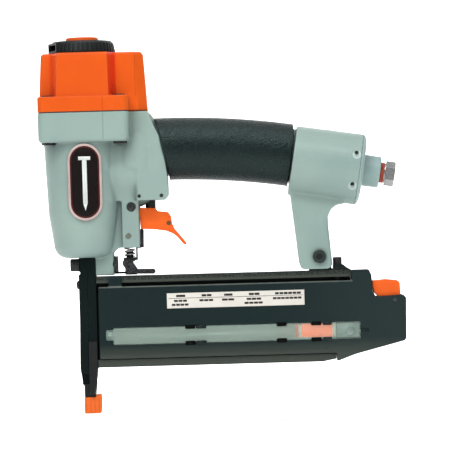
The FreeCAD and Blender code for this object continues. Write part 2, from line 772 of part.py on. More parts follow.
def make_cap():
    bottom = S.flange_top + S.gasket_thick
    upper = new_body("cap_upper")
    base = draw(upper, "cap_upper_base", "XY_Plane", cap_plan(1.0), bottom)
    shoulder = draw(upper, "cap_shoulder", "XY_Plane", cap_plan(S.cap_draft),
                    S.cap_top - S.cap_rim_height)
    crown = draw(upper, "cap_crown", "XY_Plane", cap_plan(S.cap_rim_inset), S.cap_top)
    loft = upper.newObject("PartDesign::AdditiveLoft", "cap_upper_loft")
    loft.Profile = base
    loft.Sections = [shoulder, crown]
    loft.Ruled = True

    band = tower("cap_band", rectangle(S.flange_front, S.flange_rear, -S.flange_half, S.flange_half),
                 bottom, S.cap_band_top)
    blend(band, "cap_band_corners", S.corner_round, lambda edge: runs(edge, 2))
    blend(band, "cap_band_rim", 0.8, lambda edge: level(edge, S.cap_band_top))
    cutters = [
        rod("cap_chamber", S.head_bore, S.cap_ceiling - bottom + 1, (0, 0, bottom - 1)),
        rod("deflector_screw_hole", 2.5, 20.0, (S.deflector_centre, 0, S.cap_ceiling - 1)),
    ]
    for turn_angle in (45, 135, 225, 315):
        reach_x = 12.0 * math.cos(math.radians(turn_angle))
        reach_y = 12.0 * math.sin(math.radians(turn_angle))
        cutters.append(rod(f"exhaust_way_{turn_angle}", 3.6, 20.0,
                           (S.deflector_centre + reach_x, reach_y, S.cap_ceiling - 1)))
    for index, (x, y) in enumerate(cap_screw_places()):
        cutters.append(rod(f"cap_seat_{index}", 4.6, 12.0, (x, y, S.cap_screw_seat)))
        cutters.append(rod(f"cap_hole_{index}", 2.5, 12.0, (x, y, bottom - 1)))
    keep(cut("cap", fuse("cap_solid", [upper, band]), cutters), "top_cap")

    gasket = tower("gasket", rectangle(S.flange_front + 0.5, S.flange_rear - 0.5,
                                       0.5 - S.flange_half, S.flange_half - 0.5), S.flange_top, bottom)
    blend(gasket, "gasket_corners", S.corner_round - 0.5, lambda edge: runs(edge, 2))
    holes = [rod("gasket_bore", S.head_bore, 4, (0, 0, S.flange_top - 1))]
    for index, (x, y) in enumerate(cap_screw_places()):
        holes.append(rod(f"gasket_hole_{index}", 2.5, 4, (x, y, S.flange_top - 1)))
    keep(cut("gasket_shape", gasket, holes), "cap_gasket")

    screws, washers, nuts = [], [], []
    for index, (x, y) in enumerate(cap_screw_places()):
        screws.append(cap_screw(f"cap_screw_{index}", 2.5, 4.25, 4.8, S.cap_screw_seat + 1 - 179.9,
                                (x, y, S.cap_screw_seat + 1.0), UPRIGHT))
        washers.append(turned(f"cap_washer_{index}", [(2.5, 0), (4.5, 0), (4.5, 1.0), (2.5, 1.0)],
                              (x, y, S.cap_screw_seat)))
        nuts.append(nut(f"cap_nut_{index}", 2.5, 8.0, 3.7, (x, y, 179.5)))
    group("cap_screws", screws)
    group("cap_washers", washers)
    group("cap_nuts", nuts)


def make_deflector():
    low, high = S.deflector_bottom, S.deflector_top
    base, crown = S.deflector_base_radius, S.deflector_top_radius
    body = turned("deflector", [(2.55, 0), (7.6, 0), (7.6, 2.4), (17.0, high - low - 3.6),
                                (base - 2.6, 2.0), (base - 2.6, 0), (base - 0.9, 0),
                                (crown + 0.1, high - low - 1.6),
                                (crown - 1.2, high - low - 0.2), (S.plug_radius, high - low),
                                (S.plug_radius, high - low - 1.5), (5.2, high - low - 1.5), (5.2, 3.2),
                                (2.55, 3.2)],
                  (S.deflector_centre, 0, low))
    rib_thick = 1.1
    rib = draw(body, "deflector_rib", "XZ_Plane",
               [(crown - 3, 0.6), (base, 0.6), (base - 0.1, 1.4), (crown + 0.5, high - low - 2.2),
                (crown - 0.9, high - low - 0.6), (crown - 3, 4.0)], -rib_thick / 2)
    first = pad(body, rib, rib_thick, "deflector_first_rib")
    doc.recompute()
    ribs = body.newObject("PartDesign::PolarPattern", "deflector_ribs")
    ribs.Originals = [first]
    ribs.Axis = (next(item for item in body.Origin.OriginFeatures if item.Role == "Z_Axis"), [""])
    ribs.Angle = 360
    ribs.Occurrences = 44
    body.Tip = ribs
    width = S.hood_half * 2
    port_width = width - 3.2
    hood_start = 19.2
    port_start = 16.5
    cleared = cut("deflector_cleared", body, [turned_block("hood_space", width, 0.0, high - low, hood_start)])
    hood = plate("hood", [(12.5, 0.4), (S.hood_reach, 0.4), (S.hood_reach, 6.9), (14.0, 8.1), (12.5, 8.1)],
                 -S.hood_half, S.hood_half)
    place(hood, (S.deflector_centre, 0, low), HOOD_TURN)
    keep(cut("deflector_ported", fuse("deflector_hooded", [cleared, hood]),
             [turned_block("deflector_port", port_width, 1.6, 5.6, port_start)]), "exhaust_deflector")
    keep(cap_screw("deflector_screw_body", 2.5, 4.6, 3.2, 14.0,
                   (S.deflector_centre, 0, low + 3.2), UPRIGHT), "deflector_screw")
    keep(turned("plug", [(0, high - 1.5), (S.plug_radius - 0.05, high - 1.5), (S.plug_radius - 0.05, high),
                         (S.plug_radius - 0.2, S.plug_top - 0.6), (S.plug_radius - 1.0, S.plug_top),
                         (0, S.plug_top)], (S.deflector_centre, 0, 0)), "deflector_plug")


def turned_block(name, width, low, high, inner):
    """A block that cuts outwards through the deflector towards its outlet."""
    thing = doc.addObject("Part::Box", name)
    bind(thing, "Length", S.hood_cut)
    bind(thing, "Width", width)
    bind(thing, "Height", high - low)
    corner = HOOD_TURN.multVec(V(inner, -width.value / 2, 0))
    place(thing, (S.deflector_centre + corner.x, corner.y, S.deflector_bottom + low), HOOD_TURN)
    return thing


# End cap and air inlet -----------------------------------------------------------------------------

def make_end_cap():
    spot, turn = tail_point(0), tail_turn()
    spigot = S.tail_bore_radius - 0.05
    body = turned("end_cap_body", [
        (4.6, -S.end_spigot_depth), (spigot - 0.8, -S.end_spigot_depth), (spigot, 0.8 - S.end_spigot_depth),
        (spigot, -7.6), (spigot - 1.5, -7.6), (spigot - 1.5, -5.4), (spigot, -5.4), (spigot, 0),
        (S.tail_radius, 0), (S.tail_radius - 0.7, 1.4), (S.tail_radius - 3.4, S.end_cap_thick),
        (S.inlet_boss_radius, S.end_cap_thick), (S.inlet_boss_radius, S.inlet_boss_end - 0.6),
        (S.inlet_boss_radius - 0.6, S.inlet_boss_end), (S.inlet_thread_radius, S.inlet_boss_end),
        (S.inlet_thread_radius, 3.0), (4.6, 3.0)], spot, turn)
    holes = [tail_cross_rod(f"end_cap_hole_{side}", S.tail_pin_radius, 30, side) for side in (1, -1)]
    keep(cut("end_cap_shape", body, holes), "end_cap")
    keep(ring("end_cap_ring", spigot - 0.75, 0.75, tail_point(6.5), turn), "end_cap_seal")
    group("end_cap_pins", [tail_cross_rod(f"end_cap_pin_{side}", S.tail_pin_radius, S.tail_pin_half, side)
                           for side in (1, -1)])

    fitting = turned("fitting_body", [
        (S.inlet_bore_radius, 4.0), (S.inlet_thread_radius - 0.6, 4.0), (S.inlet_thread_radius, 4.6),
        (S.inlet_thread_radius, S.inlet_hex_start), (S.inlet_bore_radius, S.inlet_hex_start)], spot, turn)
    flats = new_body("fitting_flats")
    pad(flats, draw(flats, "fitting_hexagon", "XY_Plane", hexagon(S.inlet_hex_flats), S.inlet_hex_start),
        S.inlet_hex_end - S.inlet_hex_start)
    place(flats, spot, turn)
    corners = turned("fitting_corners", [(0, 17.0), (8.0, 17.0), (8.3, 18.6), (8.3, 24.0),
                                         (7.2, S.inlet_hex_end), (0, S.inlet_hex_end)], spot, turn)
    bore = rod("fitting_bore", S.inlet_bore_radius, 12.0, tail_point(-16), turn)
    head = cut("fitting_head", common("fitting_bevelled", [flats, corners]), [bore])
    keep(fuse("fitting_shape", [fitting, head]), "inlet_fitting")
    low, high = S.inlet_boss_end + 0.1, S.inlet_hex_start - 0.7
    keep(turned("sealant", [(S.inlet_thread_radius, low), (S.inlet_thread_radius + 0.35, low + 0.3),
                            (S.inlet_thread_radius + 0.3, high), (S.inlet_thread_radius, high)],
                spot, turn), "thread_sealant")


# Trigger and valve ---------------------------------------------------------------------------------

def make_valve():
    height = S.valve_top - S.valve_bottom
    sleeve = turned("valve_sleeve", [(2.6, 9.0), (3.7, 8.0), (3.7, 0), (S.valve_radius, 0),
                                     (S.valve_radius, 14.0), (6.9, 14.0), (6.9, 16.2),
                                     (S.valve_radius, 16.2), (S.valve_radius, height), (2.6, height)],
                    (S.valve_x, 0, S.valve_bottom))
    pins = list(enumerate((S.valve_pin_front, S.valve_pin_rear)))
    holes = [cross_rod(f"valve_groove_{index}", S.valve_pin_radius, 20, x, S.valve_pin_z)
             for index, x in pins]
    keep(cut("valve_sleeve_grooved", sleeve, holes), "trigger_valve_housing")
    group("trigger_valve_pins", [
        cross_rod(f"valve_pin_{index}", S.valve_pin_radius, S.valve_pin_half, x, S.valve_pin_z)
        for index, x in pins])
    keep(ring("valve_ring", S.valve_radius - 0.65, 0.65, (S.valve_x, 0, S.valve_bottom + 15.1)),
         "trigger_valve_seal")
    keep(turned("stem", [(0, 0), (2.4, 0), (S.stem_cap_radius, 1.0), (S.stem_cap_radius, 10.0),
                         (S.stem_radius, 10.8), (S.stem_radius, 30.0), (0, 30.0)],
                (S.valve_x, 0, S.stem_bottom)), "valve_stem")


def make_trigger():
    body = plate("trigger_body", S.outline("trigger"), -S.trigger_half, S.trigger_half)
    channel = draw(body, "trigger_channel", "XZ_Plane",
                   [(25.0, 145.0), (25.0, 120.0), (41.0, 120.0), (41.6, 126.0), (53.4, 123.2),
                    (55.6, 121.8), (60.0, 122.4), (60.0, 138.0), (50.0, 145.0)])
    pocket(body, channel, S.trigger_channel_half * 2, "trigger_hollow", both=True)
    side_hole(body, "trigger_pivot_hole", (S.pivot_x, S.pivot_z), S.bush_radius, 40)
    side_hole(body, "trigger_pin_hole", (S.lever_pin_x, S.lever_pin_z), S.lever_pin_radius, 40)
    keep(body, "trigger")
    keep(cross_rod("pivot_pin", S.pivot_radius, S.ear_half - 0.1, S.pivot_x, S.pivot_z),
         "trigger_pivot_pin")
    bushes = []
    for side, low in ((0, -S.trigger_half), (1, S.trigger_channel_half)):
        bushes.append(turned(f"bush_{side}", [(S.pivot_radius + 0.04, 0), (S.bush_radius, 0),
                                              (S.bush_radius, S.trigger_half - S.trigger_channel_half),
                                              (S.pivot_radius + 0.04,
                                               S.trigger_half - S.trigger_channel_half)],
                             (S.pivot_x, low, S.pivot_z), ALONG_Y))
    group("trigger_bushes", bushes)
    keep(coil("torsion_spring", S.pivot_radius + 0.75, 0.45, 1.5, 6.0,
              (S.pivot_x, -3.2, S.pivot_z), ALONG_Y), "trigger_spring")

    lever = plate("lever_body", [(38.2, 128.7), (46.0, 128.2), (52.0, 124.8), (55.0, 123.6),
                                 (57.2, 123.9), (57.9, 126.2), (56.4, 128.0), (52.0, 128.6),
                                 (46.0, 130.4), (38.2, 130.9)], -S.lever_half, S.lever_half)
    side_hole(lever, "lever_pin_hole", (S.lever_pin_x, S.lever_pin_z), S.lever_pin_radius + 0.04, 40)
    keep(lever, "trigger_lever")
    keep(cross_rod("lever_pin", S.lever_pin_radius, S.trigger_half, S.lever_pin_x, S.lever_pin_z),
         "trigger_lever_pin")


# Nose and contact arm ------------------------------------------------------------------------------

def make_nose():
    """Two halves that meet just behind the driver line, with the brads fed through the rear one."""
    for label, outline in (("nose_block", "nose_rear_half"), ("nose_cover_plate", "nose_front_half")):
        half = plate(f"{label}_body", S.outline(outline), -S.nose_half, S.nose_half)
        cutters = [block(f"{label}_way", (-S.channel_thick / 2, -S.channel_width / 2, 18.0),
                         (S.channel_thick / 2, S.channel_width / 2, 105.0))]
        for side in (-1, 1):
            y = S.nose_fixing_side * side
            cutters.append(rod(f"{label}_bolt_hole_{side}", 2.5, 24.0, (-12, y, S.nose_bolt_z), ALONG_X))
            cutters.append(rod(f"{label}_screw_hole_{side}", 1.75, 17.0, (-12, y, S.nose_screw_z), ALONG_X))
            inner, outer = sorted((S.nose_end_half.value * side, 9.0 * side))
            cutters.append(block(f"{label}_waist_{side}", (-8, inner, 18.0), (8, outer, S.nose_end_top)))
        if label == "nose_block":
            cutters.append(block("feed_slot", (0.5, -1.7, 32.0), (8, S.rail_core, 84.0)))
        keep(cut(f"{label}_shape", half, cutters), label)

    bolts, screws, holes = [], [], []
    for side in (-1, 1):
        y = S.nose_fixing_side * side
        bolts.append(cap_screw(f"nose_bolt_{side}", 2.5, 4.2, 5.6, 25.8, (-4.8, y, S.nose_bolt_z),
                               ALONG_MINUS_X))
        screws.append(turned(f"nose_screw_{side}", [(0, -9.5), (1.75, -9.5), (1.75, 0), (2.9, 0),
                                                    (2.8, 0.7), (2.2, 1.3), (1.3, 1.55), (1.3, 0.7),
                                                    (0, 0.7)], (-5.1, y, S.nose_screw_z), ALONG_MINUS_X))
        holes.append(rod(f"nut_plate_hole_{side}", 2.5, 6.0, (S.lug_rear - 1, y, S.nose_bolt_z), ALONG_X))
    nut_plate = block("nut_plate", (S.lug_rear, -S.nose_half, 94.0), (S.lug_rear + 2.4, S.nose_half, 104.6))
    keep(cut("nut_plate_shape", nut_plate, holes), "nose_nut_plate")
    group("nose_bolts", bolts)
    group("nose_screws", screws)


def make_contact_arm():
    inner, outer = S.arm_plate_inner, S.arm_plate_outer
    sole = block("foot_sole", (-2.4, -5.0, S.foot_bottom), (4.0, 5.0, S.foot_floor))
    cheeks = plate("foot_cheeks", rectangle(-3.2, 4.2, 10.9, S.foot_top), -S.foot_half, S.foot_half)
    ways = [block("foot_way", (-S.channel_thick / 2, -S.channel_width / 2, 2.0),
                  (S.channel_thick / 2, S.channel_width / 2, 20.0)),
            block("foot_gap", (-4, -S.nose_end_half - 0.1, S.foot_floor), (5, S.nose_end_half + 0.1, 20.0))]
    blades = []
    for side, top in ((-1, 48.0), (1, 98.0)):
        low, high = (-outer, -inner) if side < 0 else (inner, outer)
        step = (-outer, -S.foot_half) if side < 0 else (S.foot_half, outer)
        blades.append(plate(f"foot_blade_{side}", [(0.5, 13.6), (4.2, 13.6), (6.1, 31.0), (6.1, top),
                                                   (0.5, top)], low, high))
        blades.append(plate(f"foot_step_{side}", rectangle(0.5, 4.2, S.foot_step, 15.0), *step))
    base = cut("foot_base", fuse("foot_solid", [sole, cheeks]), ways)
    keep(fuse("foot_shape", [base, *blades]), "contact_foot")
    keep(plate("arm_strip", [(6.1, 92.6), (34.0, 92.6), (34.0, 95.7), (30.0, 98.0), (26.6, 98.0),
                             (25.6, 94.0), (21.4, 94.0), (20.4, 98.0), (6.1, 98.0)], inner, outer),
         "contact_arm_strip")

    yoke = plate("yoke_body", S.outline("yoke"), -4.6, 4.6)
    reach = block("yoke_reach", (26.2, 4.6, 92.6), (33.4, S.arm_plate_inner, 95.6))
    spigot = rod("yoke_spigot", 2.4, 5.0, (S.arm_spring_x, 0, S.arm_seat), UPRIGHT)
    keep(fuse("yoke_shape", [yoke, reach, spigot]), "contact_yoke")
    upper = plate("arm_upper_body", [(33.6, 101.6), (34.7, 101.6), (34.7, 109.4), (38.9, 110.0),
                                     (39.1, 121.6), (38.6, 122.3), (36.8, 122.3), (36.8, 112.0),
                                     (33.6, 111.6)], -3.6, 3.6)
    keep(upper, "contact_arm_upper")
    top = S.arm_pin_z - S.arm_pin_radius
    keep(coil("arm_coil", S.arm_spring_radius - 0.6, 0.45, 2.2, top - S.arm_seat - 1.0,
              (S.arm_spring_x, 0, S.arm_seat + 0.5)), "contact_spring")
    keep(cross_rod("arm_pin_body", S.arm_pin_radius, S.ear_half, S.arm_pin_x, S.arm_pin_z), "arm_guide_pin")

    tip = plate("tip_body", S.outline("tip"), -S.tip_half, S.tip_half)
    blend(tip, "tip_edges", 1.0, lambda edge: runs(edge, 2) or edge.BoundBox.YLength < 0.01
          and edge.BoundBox.ZLength > 6)
    hollow = [block("tip_socket", (-2.45, -5.05, S.foot_bottom), (4.05, 5.05, 13.0)),
              block("tip_ledge", (-4.0, -7.0, 10.9), (4.25, 7.0, 13.0)),
              block("tip_way", (-1.2, -1.8, -0.5), (1.2, 1.8, 3.0))]
    keep(cut("tip_shape", tip, hollow), "no_mar_tip")


# Magazine ------------------------------------------------------------------------------------------

def make_rail():
    """The fixed half of the magazine: two flanges, a far wall and the core that backs the brads."""
    top = block("rail_top_flange", (S.rail_front, -S.rail_half, S.rail_top_flange),
                (S.rail_rear, S.rail_half, S.rail_top))
    sole = plate("rail_sole", [(S.rail_front, S.rail_bottom), (156.5, S.rail_bottom), (165.6, 32.2),
                               (165.6, S.rail_bottom_flange), (S.rail_front, S.rail_bottom_flange)],
                 -S.rail_half, S.rail_half)
    wall = block("rail_far_wall", (S.rail_front, S.rail_wall, S.rail_bottom_flange),
                 (S.rail_rear, S.rail_half, S.rail_top_flange))
    core = block("rail_core", (S.rail_front, S.rail_core, S.rail_bottom_flange), (165.0, S.rail_wall, 82.0))
    nib = block("rail_latch_nib", (173.9, -0.5, 70.0), (S.rail_rear, S.rail_wall, 77.3))
    holes = [rod("bracket_screw_hole", 2.0, 12.0, (168.0, -4.0, 82.0))]
    keep(cut("rail", fuse("rail_solid", [top, sole, wall, core, nib]), holes), "magazine_rail")


def make_bracket():
    foot = plate("bracket_foot", S.outline("bracket"), -S.rail_half, S.rail_half)
    tongue = plate("bracket_tongue", [(150.0, 92.0), (164.0, 92.0), (163.0, 104.6), (160.0, 107.2),
                                      (152.4, 107.2), (149.6, 104.6)], 0.05 - S.post_fork_half,
                   S.post_fork_half - 0.05)
    holes = [cross_rod("tongue_hole", 2.5, 20, S.post_screw_x, S.post_screw_z),
             rod("bracket_hole", 2.0, 12.0, (168.0, -4.0, 90.0))]
    keep(cut("bracket", fuse("bracket_solid", [foot, tongue]), holes), "rear_bracket")
    keep(cap_screw("bracket_screw_body", 2.0, 3.0, 5.0, 9.8, (168.0, -4.0, 95.0), UPRIGHT),
         "bracket_screw")
    half = S.post_half
    keep(cap_screw("post_screw_body", 2.5, 4.4, 2.6, half * 2 + 4.4,
                   (S.post_screw_x, -half, S.post_screw_z), ALONG_MINUS_Y), "post_screw")
    keep(nut("post_nut_body", 2.5, 8.0, 4.0, (S.post_screw_x, half, S.post_screw_z), ALONG_Y), "post_nut")


def make_cover():
    """The sliding half of the magazine, with its full-width rear block."""
    side = plate("cover_side", S.outline("cover"), S.cover_face, S.cover_inner)
    rear = plate("cover_rear", S.outline("cover_block"), S.cover_inner, S.cover_side)
    hook = plate("cover_hook", rectangle(15.0, 23.5, 81.0, 91.2), S.cover_face, -S.rail_half - 0.1)
    bands = [plate(f"cover_band_{index}", rectangle(12.0, 160.0, low, low + 1.6), S.cover_face - 0.35,
                   S.cover_face) for index, low in enumerate((38.2, 41.2))]
    solid = fuse("cover_solid", [side, rear, hook, *bands])
    cutters = [
        block("window_seat", (S.window_front, S.cover_face - 1, S.window_bottom),
              (S.window_rear, S.cover_face + S.window_thick, S.window_top)),
        block("window_tail_seat", (12.4, S.cover_face - 1, 48.6),
              (S.window_front, S.cover_face + S.window_thick, 55.3)),
        block("pusher_way", (9.0, S.cover_face + S.window_thick, 45.8), (166.0, S.cover_inner + 1, 56.2)),
        block("latch_pocket", (189.0, -S.latch_half - 0.2, 71.0), (215.0, S.latch_half + 0.2, 95.0)),
        block("lug_pocket", (200.6, -4.4, 66.6), (210.6, 4.4, 73.0)),
        block("tongue_slot", (169.0, -3.2, 71.6), (192.0, 3.2, 88.4)),
        cross_rod("latch_pin_hole", S.latch_pin_radius, 15.0, S.latch_pin_x, S.latch_pin_z),
        block("pane_slot", (S.window_rear, S.cover_face - 1, 49.4), (187.6, S.cover_face + 1.4, 52.2)),
        rod("window_screw_hole", S.window_screw_radius, 6.0,
            (S.window_screw_x, S.cover_face - 1, S.window_screw_z), ALONG_Y),
    ]
    keep(cut("cover", solid, cutters), "magazine_cover")
    pane = plate("window_pane", rectangle(S.window_front, S.window_rear, S.window_bottom, S.window_top),
                 S.cover_face + 0.1, S.cover_face + S.window_thick)
    tail = plate("window_tail", rectangle(12.4, S.window_front, 48.6, 55.3), S.cover_face + 0.1,
                 S.cover_face + S.window_thick)
    notches = [block(f"window_notch_{x}_{z}", (x, S.cover_face - 1, z),
                     (x + 7.0, S.cover_face + 2, z + 1.6))
               for x in (65, 126, 149) for z in (44.5, 55.9)]
    screw_hole = rod("pane_screw_hole", S.window_screw_radius, 6.0,
                     (S.window_screw_x, S.cover_face - 1, S.window_screw_z), ALONG_Y)
    keep(cut("window", fuse("window_solid", [pane, tail]), [*notches, screw_hole]), "magazine_window")
    keep(turned("window_screw_body", [(0, -3.0), (S.window_screw_radius, -3.0),
                                      (S.window_screw_radius, 0), (2.9, 0), (2.6, 0.7), (0, 1.0)],
                (S.window_screw_x, S.cover_face + 0.1, S.window_screw_z), ALONG_MINUS_Y), "window_screw")
    keep(plate("label_body", rectangle(S.label_front, S.label_rear, S.label_bottom, S.label_top),
               S.cover_face - 0.2, S.cover_face), "spec_label")


def make_pusher():
    shoe = block("pusher_shoe", (S.pusher_front, -9.3, 46.0), (S.pusher_rear, -0.6, 56.0))
    blade = block("pusher_blade", (S.pusher_front - 3, -0.6, 37.0), (S.pusher_rear - 4, 0.6, 69.0))
    keep(fuse("pusher_shape", [shoe, blade]), "pusher")


def make_latch():
    half = S.latch_half
    body = plate("latch_body", S.outline("latch"), -half, half)
    blend(body, "latch_edges", 0.8, lambda edge: edge.BoundBox.YLength < 0.01
          and edge.BoundBox.ZMin > 81.0)
    tongue = block("latch_tongue", (171.2, -2.6, 77.6), (194.0, 2.6, 80.4))
    hook = block("latch_hook", (171.2, -2.6, 73.2), (172.9, 2.6, 77.6))
    lug = block("latch_lug", (202.9, -4.0, 68.0), (208.3, 4.0, 73.4))
    hole = rod("latch_hole", S.latch_pin_radius + 0.04, 30.0, (S.latch_pin_x, -15.0, S.latch_pin_z),
               ALONG_Y)
    keep(cut("latch_shape", fuse("latch_solid", [body, tongue, hook, lug]), [hole]), "magazine_latch")
    keep(cross_rod("latch_pin_body", S.latch_pin_radius, S.latch_pin_half, S.latch_pin_x, S.latch_pin_z),
         "latch_pin")


def check_and_write():
    """Recomputes, checks every object and every kept shape, and writes one STEP file per sub-part."""
    doc.recompute()
    failed = [item.Name for item in doc.Objects if {"Invalid", "Error"} & set(item.State)]
    if failed:
        raise ValueError(f"objects failed: {failed}")
    for node in nodes:
        if node.Shape.isNull() or not node.Shape.isValid():
            raise ValueError(f"{node.Label} has no valid shape")
    os.makedirs("parts", exist_ok=True)
    for node in nodes:
        node.Shape.exportStep(f"parts/{node.Label}.step")
    print(len(nodes), "sub-parts written")


for make in (make_housing, make_badge, make_grip, make_motor, make_cap, make_deflector, make_end_cap,
             make_valve, make_trigger, make_nose, make_contact_arm, make_rail, make_bracket, make_cover,
             make_pusher, make_latch):
    make()
check_and_write()
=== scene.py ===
import json
import math

import bmesh
import bpy
import numpy as np
from mathutils import Euler, Matrix, Vector, noise


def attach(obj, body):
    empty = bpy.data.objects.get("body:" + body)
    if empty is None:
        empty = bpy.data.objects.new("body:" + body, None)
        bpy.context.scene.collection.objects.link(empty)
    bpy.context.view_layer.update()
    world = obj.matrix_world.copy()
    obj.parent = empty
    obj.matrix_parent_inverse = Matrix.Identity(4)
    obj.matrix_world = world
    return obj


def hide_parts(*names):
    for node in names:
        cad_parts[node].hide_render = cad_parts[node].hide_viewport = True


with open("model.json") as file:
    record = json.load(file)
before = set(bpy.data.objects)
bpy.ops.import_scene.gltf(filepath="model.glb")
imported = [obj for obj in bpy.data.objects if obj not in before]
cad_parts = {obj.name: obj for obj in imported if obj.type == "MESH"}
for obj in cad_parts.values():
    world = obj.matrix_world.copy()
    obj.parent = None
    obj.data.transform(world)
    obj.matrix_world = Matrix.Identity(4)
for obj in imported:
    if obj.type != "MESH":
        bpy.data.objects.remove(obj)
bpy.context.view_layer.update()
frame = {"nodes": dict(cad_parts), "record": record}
nodes = frame["nodes"]
MM = 0.001
TAIL_PINS = (182.35, 167.77), (178.9, 147.15)    # X and Z of the end cap's cross pins, in millimetres
SEAM_X = 0.0147                                  # mould line of the flange and of the cap's band, in metres


# Node materials ------------------------------------------------------------------------------------

class Look:
    """A node material with short calls for the nodes that the finishes below share."""

    def __init__(self, name):
        self.material = bpy.data.materials.new(name)
        self.material.use_nodes = True
        self.tree = self.material.node_tree
        self.tree.nodes.clear()
        self.shader = self.node("ShaderNodeBsdfPrincipled")
        output = self.node("ShaderNodeOutputMaterial")
        self.join(self.shader.outputs["BSDF"], output.inputs["Surface"])
        self.place = self.node("ShaderNodeTexCoord").outputs["Object"]

    def node(self, kind, **settings):
        made = self.tree.nodes.new(kind)
        for key, value in settings.items():
            setattr(made, key, value)
        return made

    def join(self, source, target):
        if hasattr(source, "node"):
            self.tree.links.new(source, target)
        else:
            target.default_value = source

    def set(self, **values):
        """Sets shader inputs by name, with underscores for spaces."""
        for key, value in values.items():
            self.join(value, self.shader.inputs[key.replace("_", " ")])
        return self

    def noise(self, scale, detail=3.0, roughness=0.5, stretch=None):
        """Noise with scale cells a metre."""
        made = self.node("ShaderNodeTexNoise")
        made.inputs["Scale"].default_value = scale
        made.inputs["Detail"].default_value = detail
        made.inputs["Roughness"].default_value = roughness
        self.join(self.stretched(stretch), made.inputs["Vector"])
        return made.outputs["Fac"]

    def cells(self, scale):
        """Distance to the middle of the nearest of scale cells a metre."""
        made = self.node("ShaderNodeTexVoronoi", feature="F1")
        made.inputs["Scale"].default_value = scale
        self.join(self.place, made.inputs["Vector"])
        return made.outputs["Distance"]

    def stretched(self, stretch):
        """The object's coordinates, scaled along each axis if a stretch is given."""
        if stretch is None:
            return self.place
        made = self.node("ShaderNodeMapping")
        made.inputs["Scale"].default_value = stretch
        self.join(self.place, made.inputs["Vector"])
        return made.outputs["Vector"]

    def ramp(self, value, low, high, first=0.0, second=1.0):
        """Maps value from low..high to first..second, clamped."""
        made = self.node("ShaderNodeMapRange")
        for key, number in zip(("Value", "From Min", "From Max", "To Min", "To Max"),
                               (value, low, high, first, second)):
            self.join(number, made.inputs[key])
        return made.outputs["Result"]

    def math(self, operation, first, second=0.0):
        made = self.node("ShaderNodeMath", operation=operation)
        self.join(first, made.inputs[0])
        self.join(second, made.inputs[1])
        return made.outputs["Value"]

    def mix(self, amount, first, second):
        """Mixes two colours."""
        made = self.node("ShaderNodeMix", data_type="RGBA")
        self.join(amount, made.inputs[0])
        self.join((*first, 1.0) if isinstance(first, tuple) else first, made.inputs[6])
        self.join((*second, 1.0) if isinstance(second, tuple) else second, made.inputs[7])
        return made.outputs[2]

    def edge(self, low=0.5, high=0.56):
        """Where the surface is convex: 0 on flats, 1 on worn edges."""
        return self.ramp(self.node("ShaderNodeNewGeometry").outputs["Pointiness"], low, high)

    def crease(self, low=0.5, high=0.44):
        """Where the surface is concave: 0 on flats, 1 in inside corners."""
        return self.ramp(self.node("ShaderNodeNewGeometry").outputs["Pointiness"], low, high)

    def shade(self, base, reach, amount):
        """Painted shade: darkens a colour towards the inside corners, from ambient occlusion over a reach in
        metres.
        """
        made = self.node("ShaderNodeAmbientOcclusion", samples=8)
        made.inputs["Distance"].default_value = reach
        open_share = self.ramp(made.outputs["AO"], 0.45, 1.0, 1.0 - amount, 1.0)
        return self.mix(open_share, (0.02, 0.03, 0.03), base)

    def bump(self, height, depth, rounded=0.0):
        """Bump of the given depth in metres, over edges rounded by a radius in metres."""
        made = self.node("ShaderNodeBump")
        made.inputs["Strength"].default_value = 1.0
        made.inputs["Distance"].default_value = depth
        self.join(height, made.inputs["Height"])
        if rounded:
            soft = self.node("ShaderNodeBevel", samples=4)
            soft.inputs["Radius"].default_value = rounded
            self.join(soft.outputs["Normal"], made.inputs["Normal"])
        self.join(made.outputs["Normal"], self.shader.inputs["Normal"])
        return self

    def coordinate(self, axis):
        made = self.node("ShaderNodeSeparateXYZ")
        self.join(self.place, made.inputs["Vector"])
        return made.outputs[axis]


def painted(name, colour, shade, light, grain=0.25, roughness=0.42, gloss=0.5, marks=None, recess_shade=0.0):
    """Sprayed paint over a casting: faint orange peel, colour drift, darker in the creases, wear on edges,
    and painted shade towards inside corners when that share is given.
    """
    look = Look(name)
    drift = look.ramp(look.noise(22.0, 4.0), 0.35, 0.65)
    base = look.mix(drift, colour, shade)
    wear_and_highlight = look.math("MULTIPLY", look.edge(0.515, 0.57), look.ramp(look.noise(900.0, 3.0), 0.42, 0.62))
    base = look.mix(look.math("MULTIPLY", wear_and_highlight, 0.35), base, light)
    darker_creases = look.math("MULTIPLY", look.crease(0.49, 0.42), 0.45)
    base = look.mix(darker_creases, base, tuple(0.45 * part for part in shade))
    peel = look.math("ADD", look.math("MULTIPLY", look.noise(700.0, 2.0), 0.7),
                     look.math("MULTIPLY", look.noise(2600.0, 2.0), grain))
    if marks:
        base, peel = marks(look, base, peel)
    # Painted shade: darker towards inside corners, from ambient occlusion.
    if recess_shade:
        base = look.shade(base, 0.022, recess_shade)
    matt = look.ramp(look.noise(350.0, 4.0), 0.3, 0.7, roughness, roughness + 0.14)
    look.set(Base_Color=base, Roughness=matt, Specular_IOR_Level=gloss, Coat_Weight=0.3 * gloss,
             Coat_Roughness=0.35)
    return look.bump(peel, 0.00006, 0.0005).material


def moulded(name, colour, shade, roughness=0.45, gloss=0.35, marks=None, painted_glow=0.0):
    """Moulded plastic with a fine spark-eroded grain; an optional emission adds painted light, as though the
    plastic glowed.
    """
    look = Look(name)
    base = look.mix(look.ramp(look.noise(60.0, 4.0), 0.35, 0.65), colour, shade)
    rub = look.math("MULTIPLY", look.edge(0.52, 0.58), 0.3)
    base = look.mix(rub, base, tuple(min(1.0, part * 1.4 + 0.01) for part in colour))
    height = look.noise(2400.0, 2.0)
    if marks:
        base, height = marks(look, base, height)
    matt = look.ramp(look.noise(500.0, 3.0), 0.3, 0.7, roughness, roughness + 0.15)
    look.set(Base_Color=base, Roughness=matt, Specular_IOR_Level=gloss, Emission_Color=base,
             Emission_Strength=painted_glow)
    return look.bump(height, 0.00004, 0.0005).material


